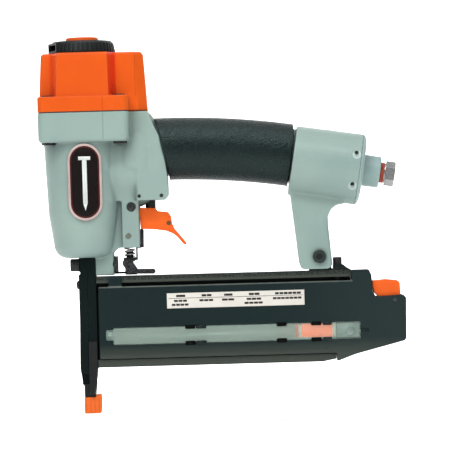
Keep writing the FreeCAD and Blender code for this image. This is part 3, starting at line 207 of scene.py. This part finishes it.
def metal(name, colour, roughness):
    """Bare or plated metal: fine machining grain, darker in the creases."""
    look = Look(name)
    grain = look.noise(1400.0, 3.0, 0.6)
    duller = tuple(part * 0.82 for part in colour)
    tint = look.mix(look.ramp(look.noise(90.0, 4.0), 0.35, 0.65), colour, duller)
    crease_darkening = look.math("MULTIPLY", look.crease(0.49, 0.42), 0.5)
    tint = look.mix(crease_darkening, tint, tuple(part * 0.35 for part in colour))
    look.set(Base_Color=tint, Metallic=1.0, Roughness=look.ramp(grain, 0.3, 0.7, roughness, roughness + 0.16))
    return look.bump(grain, 0.00002, 0.0003).material


def oxide(name, colour=(0.008, 0.009, 0.0095), roughness=0.36):
    """Black oxide on steel: dark, slightly glossy, rubbed to bare metal on its edges."""
    look = Look(name)
    rub = look.math("MULTIPLY", look.edge(0.52, 0.6), look.ramp(look.noise(1200.0, 3.0), 0.4, 0.65))
    base = look.mix(look.math("MULTIPLY", rub, 0.4), colour, (0.12, 0.12, 0.125))
    look.set(Base_Color=base, Metallic=0.2, Specular_IOR_Level=0.3,
             Roughness=look.ramp(look.noise(700.0, 4.0), 0.3, 0.7, roughness, roughness + 0.2))
    return look.bump(look.noise(1800.0, 3.0), 0.00003, 0.0003).material


def rubber(name, colour, roughness=0.7):
    """Matt rubber, paste or paper."""
    look = Look(name)
    paler = tuple(part * 1.5 for part in colour)
    base = look.mix(look.ramp(look.noise(140.0, 4.0), 0.35, 0.65), colour, paler)
    look.set(Base_Color=base, Roughness=look.ramp(look.noise(800.0, 3.0), 0.3, 0.7, roughness, 0.9),
             Specular_IOR_Level=0.3)
    return look.bump(look.noise(2000.0, 3.0), 0.00005, 0.0003).material


def line_mark(look, axis, place, half):
    """1 on a thin line across one axis; place and half width in metres."""
    away = look.math("ABSOLUTE", look.math("SUBTRACT", look.coordinate(axis), place))
    return look.ramp(away, half, half * 1.6, 1.0, 0.0)


def ring_mark(look, x, z, inner, outer):
    """1 on a ring about a line along Y; all in millimetres."""
    dx = look.math("SUBTRACT", look.coordinate("X"), x * MM)
    dz = look.math("SUBTRACT", look.coordinate("Z"), z * MM)
    away = look.math("SQRT", look.math("ADD", look.math("MULTIPLY", dx, dx), look.math("MULTIPLY", dz, dz)))
    return look.math("MULTIPLY", look.ramp(away, inner * MM, (inner + 0.25) * MM),
                     look.ramp(away, (outer - 0.25) * MM, outer * MM, 1.0, 0.0))


def casting_marks(look, base, height):
    """The flange's mould line and the bright countersinks round the pins of the end cap."""
    seam = look.math("MULTIPLY", line_mark(look, "X", SEAM_X, 0.0002),
                     look.ramp(look.coordinate("Z"), 0.182, 0.1825))
    base = look.mix(look.math("MULTIPLY", seam, 0.35), base, (0.12, 0.17, 0.16))
    for x, z in TAIL_PINS:
        ring = ring_mark(look, x, z, 1.3, 3.0)
        base = look.mix(look.math("MULTIPLY", ring, 0.6), base, (0.50, 0.60, 0.56))
        height = look.math("SUBTRACT", height, look.math("MULTIPLY", ring, 3.0))
    return base, look.math("SUBTRACT", height, look.math("MULTIPLY", seam, 2.5))


def cap_marks(look, base, height):
    """Painted shade, darker and more red, on the sides of the screw recesses, most where they face away from
    the light, and the mould lines.
    """
    x = look.coordinate("X")
    shaded_sides = 0.0
    for low, high, strength in ((0.0188, 0.0238, 0.85), (-0.0206, -0.0162, 0.45)):
        band = look.math("MULTIPLY", look.ramp(x, low - 0.0003, low + 0.0003),
                         look.ramp(x, high - 0.0003, high + 0.0003, 1.0, 0.0))
        shaded_sides = look.math("MAXIMUM", shaded_sides, look.math("MULTIPLY", band, strength))
    above_band = look.ramp(look.coordinate("Z"), 0.2114, 0.2120)
    on_band = look.math("SUBTRACT", 1.0, above_band)
    base = look.mix(look.math("MULTIPLY", shaded_sides, above_band), base, (0.66, 0.030, 0.006))
    line = look.math("ADD", look.math("MULTIPLY", line_mark(look, "X", 0.0364, 0.00016), above_band),
                     look.math("MULTIPLY", line_mark(look, "X", SEAM_X, 0.00016), on_band))
    base = look.mix(look.math("MULTIPLY", line, 0.4), base, (0.40, 0.035, 0.005))
    return base, look.math("SUBTRACT", height, look.math("MULTIPLY", line, 2.0))


def tip_marks(look, base, height):
    """Shallow upright grooves in the soft tip, with painted shade darkening them."""
    wave = look.math("SINE", look.math("MULTIPLY", look.coordinate("X"), 2.0 * math.pi / 0.0028))
    groove = look.ramp(wave, 0.55, 0.95)
    base = look.mix(look.math("MULTIPLY", groove, 0.35), base, (0.55, 0.06, 0.01))
    return base, look.math("SUBTRACT", height, look.math("MULTIPLY", groove, 4.0))


def rail_marks(look, base, height):
    """The rail's flanges: paler and olive below, and a painted highlight along the top flange's lower half.
    """
    z = look.coordinate("Z")
    base = look.mix(look.ramp(z, 0.0352, 0.0358, 0.85, 0.0), base, (0.050, 0.058, 0.048))
    top_highlight = look.math("MULTIPLY", look.ramp(z, 0.0862, 0.0868), look.ramp(z, 0.0880, 0.0892, 1.0, 0.0))
    return look.mix(look.math("MULTIPLY", top_highlight, 0.7), base, (0.060, 0.070, 0.056)), height


def magazine_marks(look, base, height):
    """A painted reflection that makes the magazine's lower band warmer and lighter, a painted highlight along
    its upper edge, and a lighter tone towards its rear.
    """
    z = look.coordinate("Z")
    # Painted reflection: lighter towards the bottom of the cover.
    band = look.ramp(z, 0.036, 0.046, 1.0, 0.0)
    base = look.mix(look.math("MULTIPLY", band, 0.6), base, (0.075, 0.085, 0.068))
    # Painted highlight along the cover's upper edge.
    ahead = look.ramp(look.coordinate("X"), 0.177, 0.178, 1.0, 0.0)
    wear_and_highlight = look.math("MULTIPLY", look.ramp(z, 0.0832, 0.0838), ahead)
    wear_and_highlight = look.math("MULTIPLY", wear_and_highlight, look.ramp(z, 0.0846, 0.0848, 1.0, 0.0))
    patchy = look.ramp(look.noise(160.0, 3.0), 0.3, 0.6, 0.5, 0.9)
    base = look.mix(look.math("MULTIPLY", wear_and_highlight, patchy), base, (0.12, 0.14, 0.125))
    rear = look.ramp(look.coordinate("X"), 0.12, 0.20)
    return look.mix(look.math("MULTIPLY", rear, 0.35), base, (0.030, 0.045, 0.045)), height


GREEN = painted("painted_casting", (0.262, 0.362, 0.322), (0.222, 0.315, 0.290), (0.55, 0.63, 0.60),
                marks=casting_marks, recess_shade=0.55)
ORANGE = painted("orange_cap", (0.69, 0.100, 0.007), (0.64, 0.082, 0.006), (0.95, 0.32, 0.14), gloss=0.12,
                 marks=cap_marks)
ORANGE_PLASTIC = moulded("orange_plastic", (0.80, 0.125, 0.014), (0.74, 0.10, 0.012), gloss=0.18)
DARK = painted("dark_casting", (0.0045, 0.0095, 0.0095), (0.0035, 0.0075, 0.0075), (0.040, 0.050, 0.046),
               grain=0.3, gloss=0.06)
COVER = painted("magazine_cover", (0.0065, 0.0165, 0.0170), (0.0050, 0.0135, 0.0145), (0.07, 0.085, 0.08),
                grain=0.3, gloss=0.12, marks=magazine_marks)
RAIL = painted("magazine_rail", (0.012, 0.016, 0.014), (0.009, 0.013, 0.011), (0.10, 0.11, 0.095),
               grain=0.3, roughness=0.36, gloss=0.15, marks=rail_marks, recess_shade=0.9)
DARK_PLASTIC = moulded("dark_plastic", (0.006, 0.010, 0.0100), (0.0045, 0.0075, 0.0075), 0.38, gloss=0.35)
BLACK_STEEL = oxide("black_steel")
BRIGHT = metal("bright_steel", (0.55, 0.54, 0.52), 0.24)
PLATED = metal("plated_steel", (0.42, 0.44, 0.43), 0.22)
ALUMINIUM = metal("aluminium", (0.60, 0.60, 0.61), 0.3)
RUBBER = rubber("black_rubber", (0.010, 0.010, 0.011))
SEALANT = rubber("red_sealant", (0.26, 0.040, 0.022), 0.55)
# The pusher's plastic glows a little: painted light, so that it shows through the window.
SALMON = moulded("salmon_plastic", (0.88, 0.140, 0.022), (0.82, 0.115, 0.016), 0.4, painted_glow=0.18)
TIP = moulded("tip_rubber", (0.78, 0.155, 0.024), (0.72, 0.13, 0.020), 0.55, gloss=0.18, marks=tip_marks)
GASKET = rubber("gasket_paper", (0.05, 0.045, 0.04), 0.85)
BADGE = moulded("badge_enamel", (0.0035, 0.0020, 0.0020), (0.006, 0.0025, 0.0025), 0.3, gloss=0.15)
BADGE_RIM = moulded("badge_rim", (0.50, 0.42, 0.39), (0.42, 0.30, 0.29), 0.35)
BADGE_RING = moulded("badge_ring", (0.075, 0.006, 0.008), (0.045, 0.004, 0.005), 0.3, gloss=0.2)
BADGE_MARK = moulded("badge_mark", (0.66, 0.70, 0.68), (0.60, 0.64, 0.62), 0.35)
LABEL = moulded("white_label", (0.60, 0.58, 0.53), (0.54, 0.52, 0.47), 0.4)
INK = moulded("label_ink", (0.025, 0.022, 0.020), (0.05, 0.045, 0.04), 0.5)
# The liner glows a little: painted light that brightens the shaded channel behind the pane.
LINER = moulded("channel_liner", (0.46, 0.60, 0.51), (0.40, 0.53, 0.46), 0.4, painted_glow=0.16)
BACKING = moulded("pane_backing", (0.25, 0.345, 0.305), (0.22, 0.31, 0.275), 0.4)
FRAME_EDGE = moulded("pusher_edge", (0.45, 0.42, 0.33), (0.40, 0.38, 0.30), 0.45)


def milky_window():
    """Clear, slightly milky plastic with fine lines along it, through which the pusher shows."""
    look = Look("smoke_window")
    lines = look.noise(1.0, 3.0, 0.5, (25.0, 900.0, 1400.0))
    base = look.mix(look.ramp(lines, 0.35, 0.65), (0.55, 0.70, 0.61), (0.46, 0.60, 0.52))
    look.set(Base_Color=base, Roughness=look.ramp(lines, 0.3, 0.7, 0.25, 0.4), Specular_IOR_Level=0.3)
    look.bump(lines, 0.00008)
    clear = look.node("ShaderNodeBsdfTransparent")
    blend = look.node("ShaderNodeMixShader")
    output = next(item for item in look.tree.nodes if item.type == "OUTPUT_MATERIAL")
    look.join(look.ramp(lines, 0.35, 0.65, 0.78, 0.84), blend.inputs["Fac"])
    look.join(look.shader.outputs["BSDF"], blend.inputs[1])
    look.join(clear.outputs["BSDF"], blend.inputs[2])
    look.join(blend.outputs["Shader"], output.inputs["Surface"])
    return look.material


def pebbled():
    """Moulded soft grip: near-black green-grey with lighter flecks on its pebbles, partly real speckle and
    partly painted glints.
    """
    look = Look("soft_grip")
    cell = look.cells(900.0)
    fleck_and_glint = look.math("MULTIPLY", look.ramp(cell, 0.26, 0.10), look.ramp(look.noise(1300.0, 3.0), 0.52, 0.64))
    drift = look.ramp(look.noise(40.0, 4.0), 0.35, 0.65)
    base = look.mix(drift, (0.0042, 0.0085, 0.0085), (0.0034, 0.0065, 0.0068))
    base = look.mix(look.math("MULTIPLY", fleck_and_glint, 0.25), base, (0.11, 0.115, 0.085))
    look.set(Base_Color=base, Roughness=look.ramp(look.noise(900.0, 3.0), 0.3, 0.7, 0.24, 0.40),
             Specular_IOR_Level=0.30, Specular_Tint=(0.72, 1.0, 0.97, 1.0))
    grain = look.math("MULTIPLY", look.noise(2200.0, 3.0), 0.6)
    height = look.math("ADD", look.math("MULTIPLY", cell, -1.0), grain)
    return look.bump(height, 0.00020).material


TAB = moulded("window_tab", (0.0012, 0.0016, 0.0016), (0.0015, 0.0018, 0.0018), 0.6, gloss=0.05)
SCREW_HEAD = oxide("screw_head", (0.020, 0.030, 0.026), 0.3)
PANE_SCREW = metal("pane_screw", (0.30, 0.37, 0.34), 0.4)
# A lighter, bluer copy of the casting paint with less painted shade: a painted lighter tone for the end cap
# and its shaded boss.
END_GREEN = painted("end_cap_paint", (0.275, 0.395, 0.375), (0.240, 0.350, 0.340), (0.55, 0.63, 0.60),
                    marks=casting_marks, recess_shade=0.15)
LEVER_PIN = metal("lever_pin", (0.22, 0.11, 0.05), 0.4)
GUIDE_PIN = metal("guide_pin", (0.24, 0.25, 0.20), 0.4)
WINDOW = milky_window()
SOFT = pebbled()

SLOT_LOOKS = {
    "painted_casting": GREEN, "orange_cap": ORANGE, "orange_plastic": ORANGE_PLASTIC, "soft_grip": SOFT,
    "dark_casting": DARK, "dark_plastic": DARK_PLASTIC, "black_steel": BLACK_STEEL,
    "bright_steel": BRIGHT, "plated_steel": PLATED, "aluminium": ALUMINIUM, "black_rubber": RUBBER,
    "red_sealant": SEALANT, "smoke_window": WINDOW, "salmon_plastic": SALMON, "tip_rubber": TIP,
    "badge_enamel": BADGE, "white_label": LABEL, "gasket_paper": GASKET,
}
record = frame["record"]
SLOTS = {part["node"]: part["material_slot"] for part in record["subparts"]}
BODY_OF = {node: body for body, members in record["behaviour"]["bodies"].items() for node in members}
NODE_LOOKS = {"magazine_cover": COVER, "magazine_rail": RAIL, "rear_bracket": DARK, "post_screw": SCREW_HEAD,
              "window_screw": PANE_SCREW, "trigger_lever_pin": LEVER_PIN, "arm_guide_pin": GUIDE_PIN,
              "latch_pin": SCREW_HEAD, "end_cap": END_GREEN}


def look_of(node):
    """A node's own look, or its material slot's."""
    return NODE_LOOKS.get(node, SLOT_LOOKS[SLOTS[node]])


for name, thing in nodes.items():
    thing.data.materials.clear()
    thing.data.materials.append(look_of(name))


# Camera, lights and floor --------------------------------------------------------------------------

scene = bpy.context.scene


def make_camera():
    """A long lens, square on to the near side, with the tool turned by the tilt that it is seen at."""
    target = Vector((0.0936, 0.0, 0.1234))
    distance = 2.2
    view_width = 0.3015
    tilt = math.radians(1.6)
    camera = bpy.data.objects.new("camera", bpy.data.cameras.new("camera"))
    camera.data.sensor_width = 36.0
    camera.data.lens = camera.data.sensor_width * distance / view_width
    camera.data.clip_end = 20.0
    camera.location = target + Vector((0, -distance, 0))
    level = Euler((math.pi / 2, 0, 0)).to_matrix()
    camera.rotation_euler = (Matrix.Rotation(tilt, 3, "Y") @ level).to_euler()
    scene.collection.objects.link(camera)
    scene.camera = camera


def make_floor():
    """A pale paper sweep: a floor that curves up into a wall behind the tool."""
    level, bend_start, bend, wall_top = -0.012, 1.2, 0.8, 3.5
    floor = bpy.data.objects.new("floor", bpy.data.meshes.new("floor"))
    shape = bmesh.new()
    rows = [(-3.0, level), (bend_start, level)]
    rows += [(bend_start + bend * math.sin(turn), level + bend - bend * math.cos(turn))
             for turn in np.linspace(0.1, math.pi / 2, 16)]
    rows += [(bend_start + bend, wall_top)]
    grid = [[shape.verts.new((x, y, z)) for x in (-4.0, 4.2)] for y, z in rows]
    for near_row, far_row in zip(grid, grid[1:]):
        face = shape.faces.new((near_row[0], near_row[1], far_row[1], far_row[0]))
        face.smooth = True
    shape.to_mesh(floor.data)
    shape.free()
    paper = Look("backdrop")
    tone = paper.mix(paper.noise(3.0, 3.0), (0.95, 0.95, 0.95), (0.92, 0.92, 0.92))
    paper.set(Base_Color=tone, Roughness=0.9, Emission_Color=(1.0, 1.0, 1.0, 1.0), Emission_Strength=0.36)
    floor.data.materials.append(paper.material)
    scene.collection.objects.link(floor)


def area(name, place, aim, size, power):
    """A soft rectangular lamp at a place, turned towards another."""
    lamp = bpy.data.objects.new(name, bpy.data.lights.new(name, "AREA"))
    lamp.data.shape = "RECTANGLE"
    lamp.data.size, lamp.data.size_y = size
    lamp.data.energy = power
    lamp.location = place
    lamp.rotation_euler = (Vector(aim) - Vector(place)).to_track_quat("-Z", "Y").to_euler()
    scene.collection.objects.link(lamp)
    return lamp


def make_lights():
    """A key light, a strip for the streak along the grip, fills, and a lamp that whitens the backdrop."""
    area("key_light", (-0.45, -0.95, 1.05), (0.08, 0, 0.14), (0.6, 0.6), 7.0)
    area("strip_light", (0.1, -0.62, 1.05), (0.1, 0, 0.15), (1.3, 0.12), 7.0)
    area("front_light", (1.0, -1.2, 0.45), (0.15, 0, 0.12), (1.0, 0.9), 2.6).visible_glossy = False
    area("top_light", (0.15, 0.1, 1.3), (0.1, 0, 0.1), (1.0, 0.6), 3.5)
    area("back_light", (0.2, 0.7, 0.5), (0.2, 2.0, 0.5), (2.4, 1.4), 42.0)
    world = bpy.data.worlds.new("studio")
    world.use_nodes = True
    background = world.node_tree.nodes["Background"]
    background.inputs["Color"].default_value = (1.0, 1.0, 1.0, 1.0)
    background.inputs["Strength"].default_value = 0.24
    scene.world = world


# Cast and moulded bodies ----------------------------------------------------------------------------

def box_weight(points, low, high, fade):
    """1 inside a box given in millimetres, falling to 0 over a fade outside it."""
    low, high = np.array(low) * MM, np.array(high) * MM
    away = np.maximum(low - points, points - high)
    outside = np.linalg.norm(np.maximum(away, 0.0), axis=1)
    return np.clip(1.0 - outside / (fade * MM), 0.0, 1.0)


def rod_weight(points, centre, axis, radius, fade):
    """1 within a radius of a line, falling to 0 over a fade; centre, radius and fade in millimetres."""
    axis = np.array(axis, float) / np.linalg.norm(axis)
    offset = points - np.array(centre) * MM
    offset -= np.outer(offset @ axis, axis)
    away = np.linalg.norm(offset, axis=1) - radius * MM
    return np.clip(1.0 - away / (fade * MM), 0.0, 1.0)


def relax(mesh, passes, weight=None):
    """Rounds a mesh: neighbour averaging with an outward step that keeps its size."""
    count = len(mesh.vertices)
    points = np.empty(count * 3)
    mesh.vertices.foreach_get("co", points)
    points = points.reshape(-1, 3)
    ends = np.empty(len(mesh.edges) * 2, np.int64)
    mesh.edges.foreach_get("vertices", ends)
    first, second = ends.reshape(-1, 2).T
    degree = np.bincount(first, minlength=count) + np.bincount(second, minlength=count)
    degree = np.maximum(degree, 1)[:, None]
    share = np.ones((count, 1)) if weight is None else weight(points)[:, None]
    for _ in range(passes):
        for step in (0.6, -0.61):
            total = np.zeros_like(points)
            for axis in range(3):
                total[:, axis] = (np.bincount(first, points[second, axis], count)
                                  + np.bincount(second, points[first, axis], count))
            points = points + share * step * (total / degree - points)
    mesh.vertices.foreach_set("co", points.ravel())
    mesh.update()


def cast(node, voxel, passes, extras=(), weight=None, local=(), shape=None):
    """A rounded copy of a CAD node that stands for it, remeshed at a voxel size in millimetres.

    extras are meshes merged into it first, shape moves points of the remeshed copy, and local holds
    (passes, weight) for more rounding in places."""
    source = nodes[node]
    piece = bpy.data.objects.new(f"{node}_body", source.data.copy())
    bpy.context.scene.collection.objects.link(piece)
    if extras:
        joined = bmesh.new()
        joined.from_mesh(piece.data)
        for extra in extras:
            joined.from_mesh(extra)
        joined.to_mesh(piece.data)
        joined.free()
    remesh = piece.modifiers.new("remesh", "REMESH")
    remesh.mode = "VOXEL"
    remesh.voxel_size = voxel * MM
    graph = bpy.context.evaluated_depsgraph_get()
    mesh = bpy.data.meshes.new_from_object(piece.evaluated_get(graph))
    piece.modifiers.clear()
    piece.data = mesh
    if shape:
        shape(mesh)
    relax(mesh, passes, weight)
    for more, where in local:
        relax(mesh, more, where)
    mesh.polygons.foreach_set("use_smooth", [True] * len(mesh.polygons))
    mesh.materials.clear()
    mesh.materials.append(look_of(node))
    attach(piece, BODY_OF[node])
    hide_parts(node)
    return piece


def crisp_places(points):
    """Machined faces and holes of the housing, which keep their edges."""
    crisp = box_weight(points, (-40, -40, 199.4), (60, 40, 210), 1.5)
    pivot, guide_pin = (31.4, 137.2, 3.4), (29.0, 117.8, 2.1)
    valve_pins = (37.0, 144.2, 1.6), (51.9, 144.2, 1.6)
    post_screw = (156.0, 100.7, 2.9)
    tail_pins = [(x, z, 1.8) for x, z in TAIL_PINS]
    for x, z, radius in (pivot, *valve_pins, guide_pin, post_screw, *tail_pins):
        crisp = np.maximum(crisp, rod_weight(points, (x, 0, z), (0, 1, 0), radius, 0.8))
    return 1.0 - crisp


def neck_area(points):
    """The neck between barrel and grip and the fillet above the post, which are rounded more."""
    soft = box_weight(points, (17, -40, 146), (60, 40, 178), 6)
    soft = np.maximum(soft, box_weight(points, (132, -40, 120), (172, 40, 150), 6))
    return soft * crisp_places(points)


def new_piece(name, shape, look, body):
    """Turns a bmesh into a piece that rides on a body."""
    mesh = bpy.data.meshes.new(name)
    bmesh.ops.recalc_face_normals(shape, faces=shape.faces)
    shape.to_mesh(mesh)
    shape.free()
    mesh.polygons.foreach_set("use_smooth", [True] * len(mesh.polygons))
    mesh.materials.append(look)
    piece = bpy.data.objects.new(name, mesh)
    bpy.context.scene.collection.objects.link(piece)
    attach(piece, body)
    return piece


def swell(centre, radii):
    """A closed ellipsoid mesh in millimetres, merged into a casting before it is rounded."""
    shape = bmesh.new()
    stretch = Matrix.Diagonal((*[radius * MM for radius in radii], 1.0))
    matrix = Matrix.Translation(Vector(centre) * MM) @ stretch
    bmesh.ops.create_uvsphere(shape, u_segments=48, v_segments=24, radius=1.0, matrix=matrix)
    mesh = bpy.data.meshes.new("swell")
    shape.to_mesh(mesh)
    shape.free()
    return mesh


def hollow_ears(mesh):
    """Draws the neck's faces in above the trigger ears, to run down into the ears and the barrel."""
    ear_half, neck_gain, barrel_radius = 12.2, 5.0, 24.9
    bottom, top = 141.0, 161.0
    points = np.empty(len(mesh.vertices) * 3)
    mesh.vertices.foreach_get("co", points)
    points = points.reshape(-1, 3)
    x, y, z = points.T / MM
    rise = np.clip((z - bottom) / (top - bottom), 0.0, 1.0)
    boss = np.clip((x - 34.6) / 0.6, 0.0, 1.0)
    face = ear_half + neck_gain * np.maximum(rise * rise * (3.0 - 2.0 * rise), boss)
    barrel = np.sqrt(np.maximum(barrel_radius ** 2 - x * x, 0.0))
    limit = np.maximum(face, barrel)
    drawn = (x > 15.0) & (x < 36.0) & (z > bottom) & (z < top + 1.0) & (np.abs(y) > limit)
    points[drawn, 1] = (np.sign(y) * limit * MM)[drawn]
    mesh.vertices.foreach_set("co", points.ravel())


cast("main_housing", 0.6, 7,
     extras=[swell((35.0, 0, 171.0), (19.5, 19.2, 34.0))],
     weight=crisp_places, local=[(60, neck_area)], shape=hollow_ears)
for node, voxel, passes in (("top_cap", 0.5, 6), ("end_cap", 0.45, 3), ("trigger", 0.3, 4),
                            ("magazine_latch", 0.35, 8), ("no_mar_tip", 0.25, 6), ("magazine_cover", 0.5, 4),
                            ("nose_block", 0.35, 3), ("nose_cover_plate", 0.35, 3),
                            ("contact_foot", 0.3, 2)):
    cast(node, voxel, passes)


def make_grip():
    """The soft grip, with rounded ends and a pebbled skin."""
    core_radius = 0.0165
    mesh = cast("grip_sleeve", 0.42, 9).data
    count = len(mesh.vertices)
    points, normals = np.empty(count * 3), np.empty(count * 3)
    mesh.vertices.foreach_get("co", points)
    mesh.vertices.foreach_get("normal", normals)
    points, normals = points.reshape(-1, 3), normals.reshape(-1, 3)
    outward = np.hypot(points[:, 1], points[:, 2] - 0.165) > core_radius
    rough = np.array([noise.cell(Vector(point) * 1100.0) for point in points])
    soft = np.array([noise.noise(Vector(point) * 1500.0) for point in points])
    points += normals * (outward * (0.00006 * rough + 0.0001 * soft))[:, None]
    mesh.vertices.foreach_set("co", points.ravel())
    mesh.update()


make_grip()


# Badge and label -----------------------------------------------------------------------------------

# Middle of the badge, its half width, and half the length of its straight sides, in millimetres.
BADGE_X, BADGE_Z, BADGE_HALF, BADGE_STRAIGHT = 1.6, 154.4, 11.3, 14.25
# Heights and radii between which the barrel tapers, in millimetres.
WAIST_Z, WAIST_RADIUS, FLANGE_Z, TOP_RADIUS = 133.0, 24.1, 181.0, 26.2
LABEL_FACE = -10.7    # Y of the label's outer face, in millimetres


def barrel_face(x, z, proud):
    """A point on the near side of the barrel, in millimetres, standing proud of it."""
    radius = WAIST_RADIUS + (TOP_RADIUS - WAIST_RADIUS) * (z - WAIST_Z) / (FLANGE_Z - WAIST_Z) + proud
    return Vector((x, -math.sqrt(radius * radius - x * x), z)) * MM


def rectangle(left, right, low, high):
    return [(left, low), (right, low), (right, high), (left, high)]


def stadium(inset):
    """The rim of the badge, drawn in by an inset."""
    steps = 20
    reach = BADGE_HALF - inset
    ends = []
    for centre, start in ((BADGE_STRAIGHT, 0.0), (-BADGE_STRAIGHT, math.pi)):
        ends += [(BADGE_X + reach * math.cos(start + math.pi * n / steps),
                  BADGE_Z + centre + reach * math.sin(start + math.pi * n / steps)) for n in range(steps + 1)]
    return ends


def hoop(name, outer, inner, crown, look):
    """A raised hoop that follows the barrel, between two insets of the badge's rim."""
    shape = bmesh.new()
    middle = (outer + inner) / 2
    rows = []
    for inset, proud in ((outer, 0.55), (outer, crown - 0.1), (outer + 0.15, crown), (middle, crown + 0.03),
                         (inner - 0.15, crown), (inner, crown - 0.1), (inner, 0.55)):
        rows.append([shape.verts.new(barrel_face(x, z, proud)) for x, z in stadium(inset)])
    for first, second in zip(rows, rows[1:] + rows[:1]):
        for index in range(len(first)):
            after = (index + 1) % len(first)
            shape.faces.new((first[index], first[after], second[after], second[index]))
    new_piece(name, shape, look, "housing")


def raised_patch(shape, outline, depth_low, depth_high, surface):
    """A thin closed plate over a surface, from a convex outline of (x, z)."""
    low = [shape.verts.new(surface(x, z, depth_low)) for x, z in outline]
    high = [shape.verts.new(surface(x, z, depth_high)) for x, z in outline]
    shape.faces.new(low)
    shape.faces.new(high[::-1])
    for index in range(len(outline)):
        after = (index + 1) % len(outline)
        shape.faces.new((low[index], high[index], high[after], low[after]))


def make_badge():
    """The badge's pale rim and dark red ring, and a plain nail pictogram."""
    hoop("badge_rim", 0.0, 1.6, 0.95, BADGE_RIM)
    hoop("badge_ring", 1.6, 2.7, 0.80, BADGE_RING)
    mark = bmesh.new()
    inner, outer = 0.55, 0.85
    shank, head, point, neck, crown = 1.5, 4.0, -14.0, 14.6, 17.0
    for half, bottom, top in ((shank, point, neck), (head, neck, crown)):
        across = np.linspace(-half, half, max(2, int(2 * half / 1.3) + 1))
        for first, second in zip(across, across[1:]):
            column = rectangle(BADGE_X + first, BADGE_X + second, BADGE_Z + bottom, BADGE_Z + top)
            raised_patch(mark, column, inner, outer, barrel_face)
    tip = [(BADGE_X - shank, BADGE_Z + point), (BADGE_X, BADGE_Z - 19.0), (BADGE_X + shank, BADGE_Z + point)]
    raised_patch(mark, tip, inner, outer, barrel_face)
    new_piece("badge_mark", mark, BADGE_MARK, "housing")


def cover_face(x, z, proud):
    """A point on the near side of the magazine, in millimetres, standing proud of the label's face."""
    return Vector((x, LABEL_FACE - proud, z)) * MM


def make_label():
    """Printed rule and bars on the white label: a plain table with no lettering."""
    ink = bmesh.new()
    bars = [(54.6, 144.0, 75.3, 75.6)]
    columns = ((59.5, 66.0, True), (76.5, 83.5, False), (91.5, 97.5, False), (108.0, 115.5, True),
               (125.5, 143.0, False))
    for left, right, lower in columns:
        bars.append((left, right, 76.2, 77.7))
        bars.append((left - 1.5, min(right + 1.0, 143.4), 73.0, 74.4))
        if lower:
            bars.append((left - 3.0, right + 2.0, 70.4, 71.8))
    for left, right, low, high in bars:
        cuts = np.linspace(left, right, max(2, int((right - left) / 2.2)))
        gap = 0.0 if right - left > 50 else 0.2
        for first, second in zip(cuts, cuts[1:]):
            raised_patch(ink, rectangle(first + gap, second - gap, low, high), -0.02, 0.03, cover_face)
    new_piece("label_print", ink, INK, "magazine_cover")


def make_channel():
    """The pale liner of the brad channel and the backing under the pane's rear end, seen through the pane."""
    liner = bmesh.new()
    raised_patch(liner, rectangle(9.0, 165.5, 45.9, 56.1), -11.4, -11.32, cover_face)
    new_piece("channel_liner", liner, LINER, "housing")
    backing = bmesh.new()
    rear_end, front_tail = (166.2, 181.9, 45.8, 56.3), (12.6, 17.2, 48.9, 55.0)
    lower_lip = (132.0, 166.0, 45.6, 47.0)
    for edges in (rear_end, front_tail, lower_lip):
        raised_patch(backing, rectangle(*edges), -1.3, -1.18, cover_face)
    new_piece("pane_backing", backing, BACKING, "magazine_cover")


def make_pusher_edge():
    """The pale rim round the pusher's shoe, seen through the window."""
    shape = bmesh.new()
    for left, right in ((140.6, 142.6), (163.2, 165.6)):
        raised_patch(shape, rectangle(left, right, 46.0, 56.0), -2.2, -1.35, cover_face)
    new_piece("pusher_rim", shape, FRAME_EDGE, "pusher")


def make_window_tabs():
    """The cover's crimped tabs and lips, which reach over the window's edges and hold it."""
    edges = ((44.2, 46.9), (54.9, 57.4))
    corner = 0.4
    for name, look, spans in (("window_tabs", TAB, ((65.1, 71.9), (126.1, 132.9), (149.1, 155.9))),
                              ("window_lips", COVER, ((72.3, 79.2), (156.9, 162.9)))):
        shape = bmesh.new()
        for left, right in spans:
            for low, high in edges:
                outline = [(left, low + corner), (left + corner, low), (right - corner, low),
                           (right, low + corner), (right, high - corner), (right - corner, high),
                           (left + corner, high), (left, high - corner)]
                raised_patch(shape, outline, 0.01, 0.16, cover_face)
        new_piece(name, shape, look, "magazine_cover")


make_badge()
make_label()
make_window_tabs()
make_channel()
make_pusher_edge()
scene.view_settings.view_transform = "Standard"
make_camera()
make_floor()
make_lights()
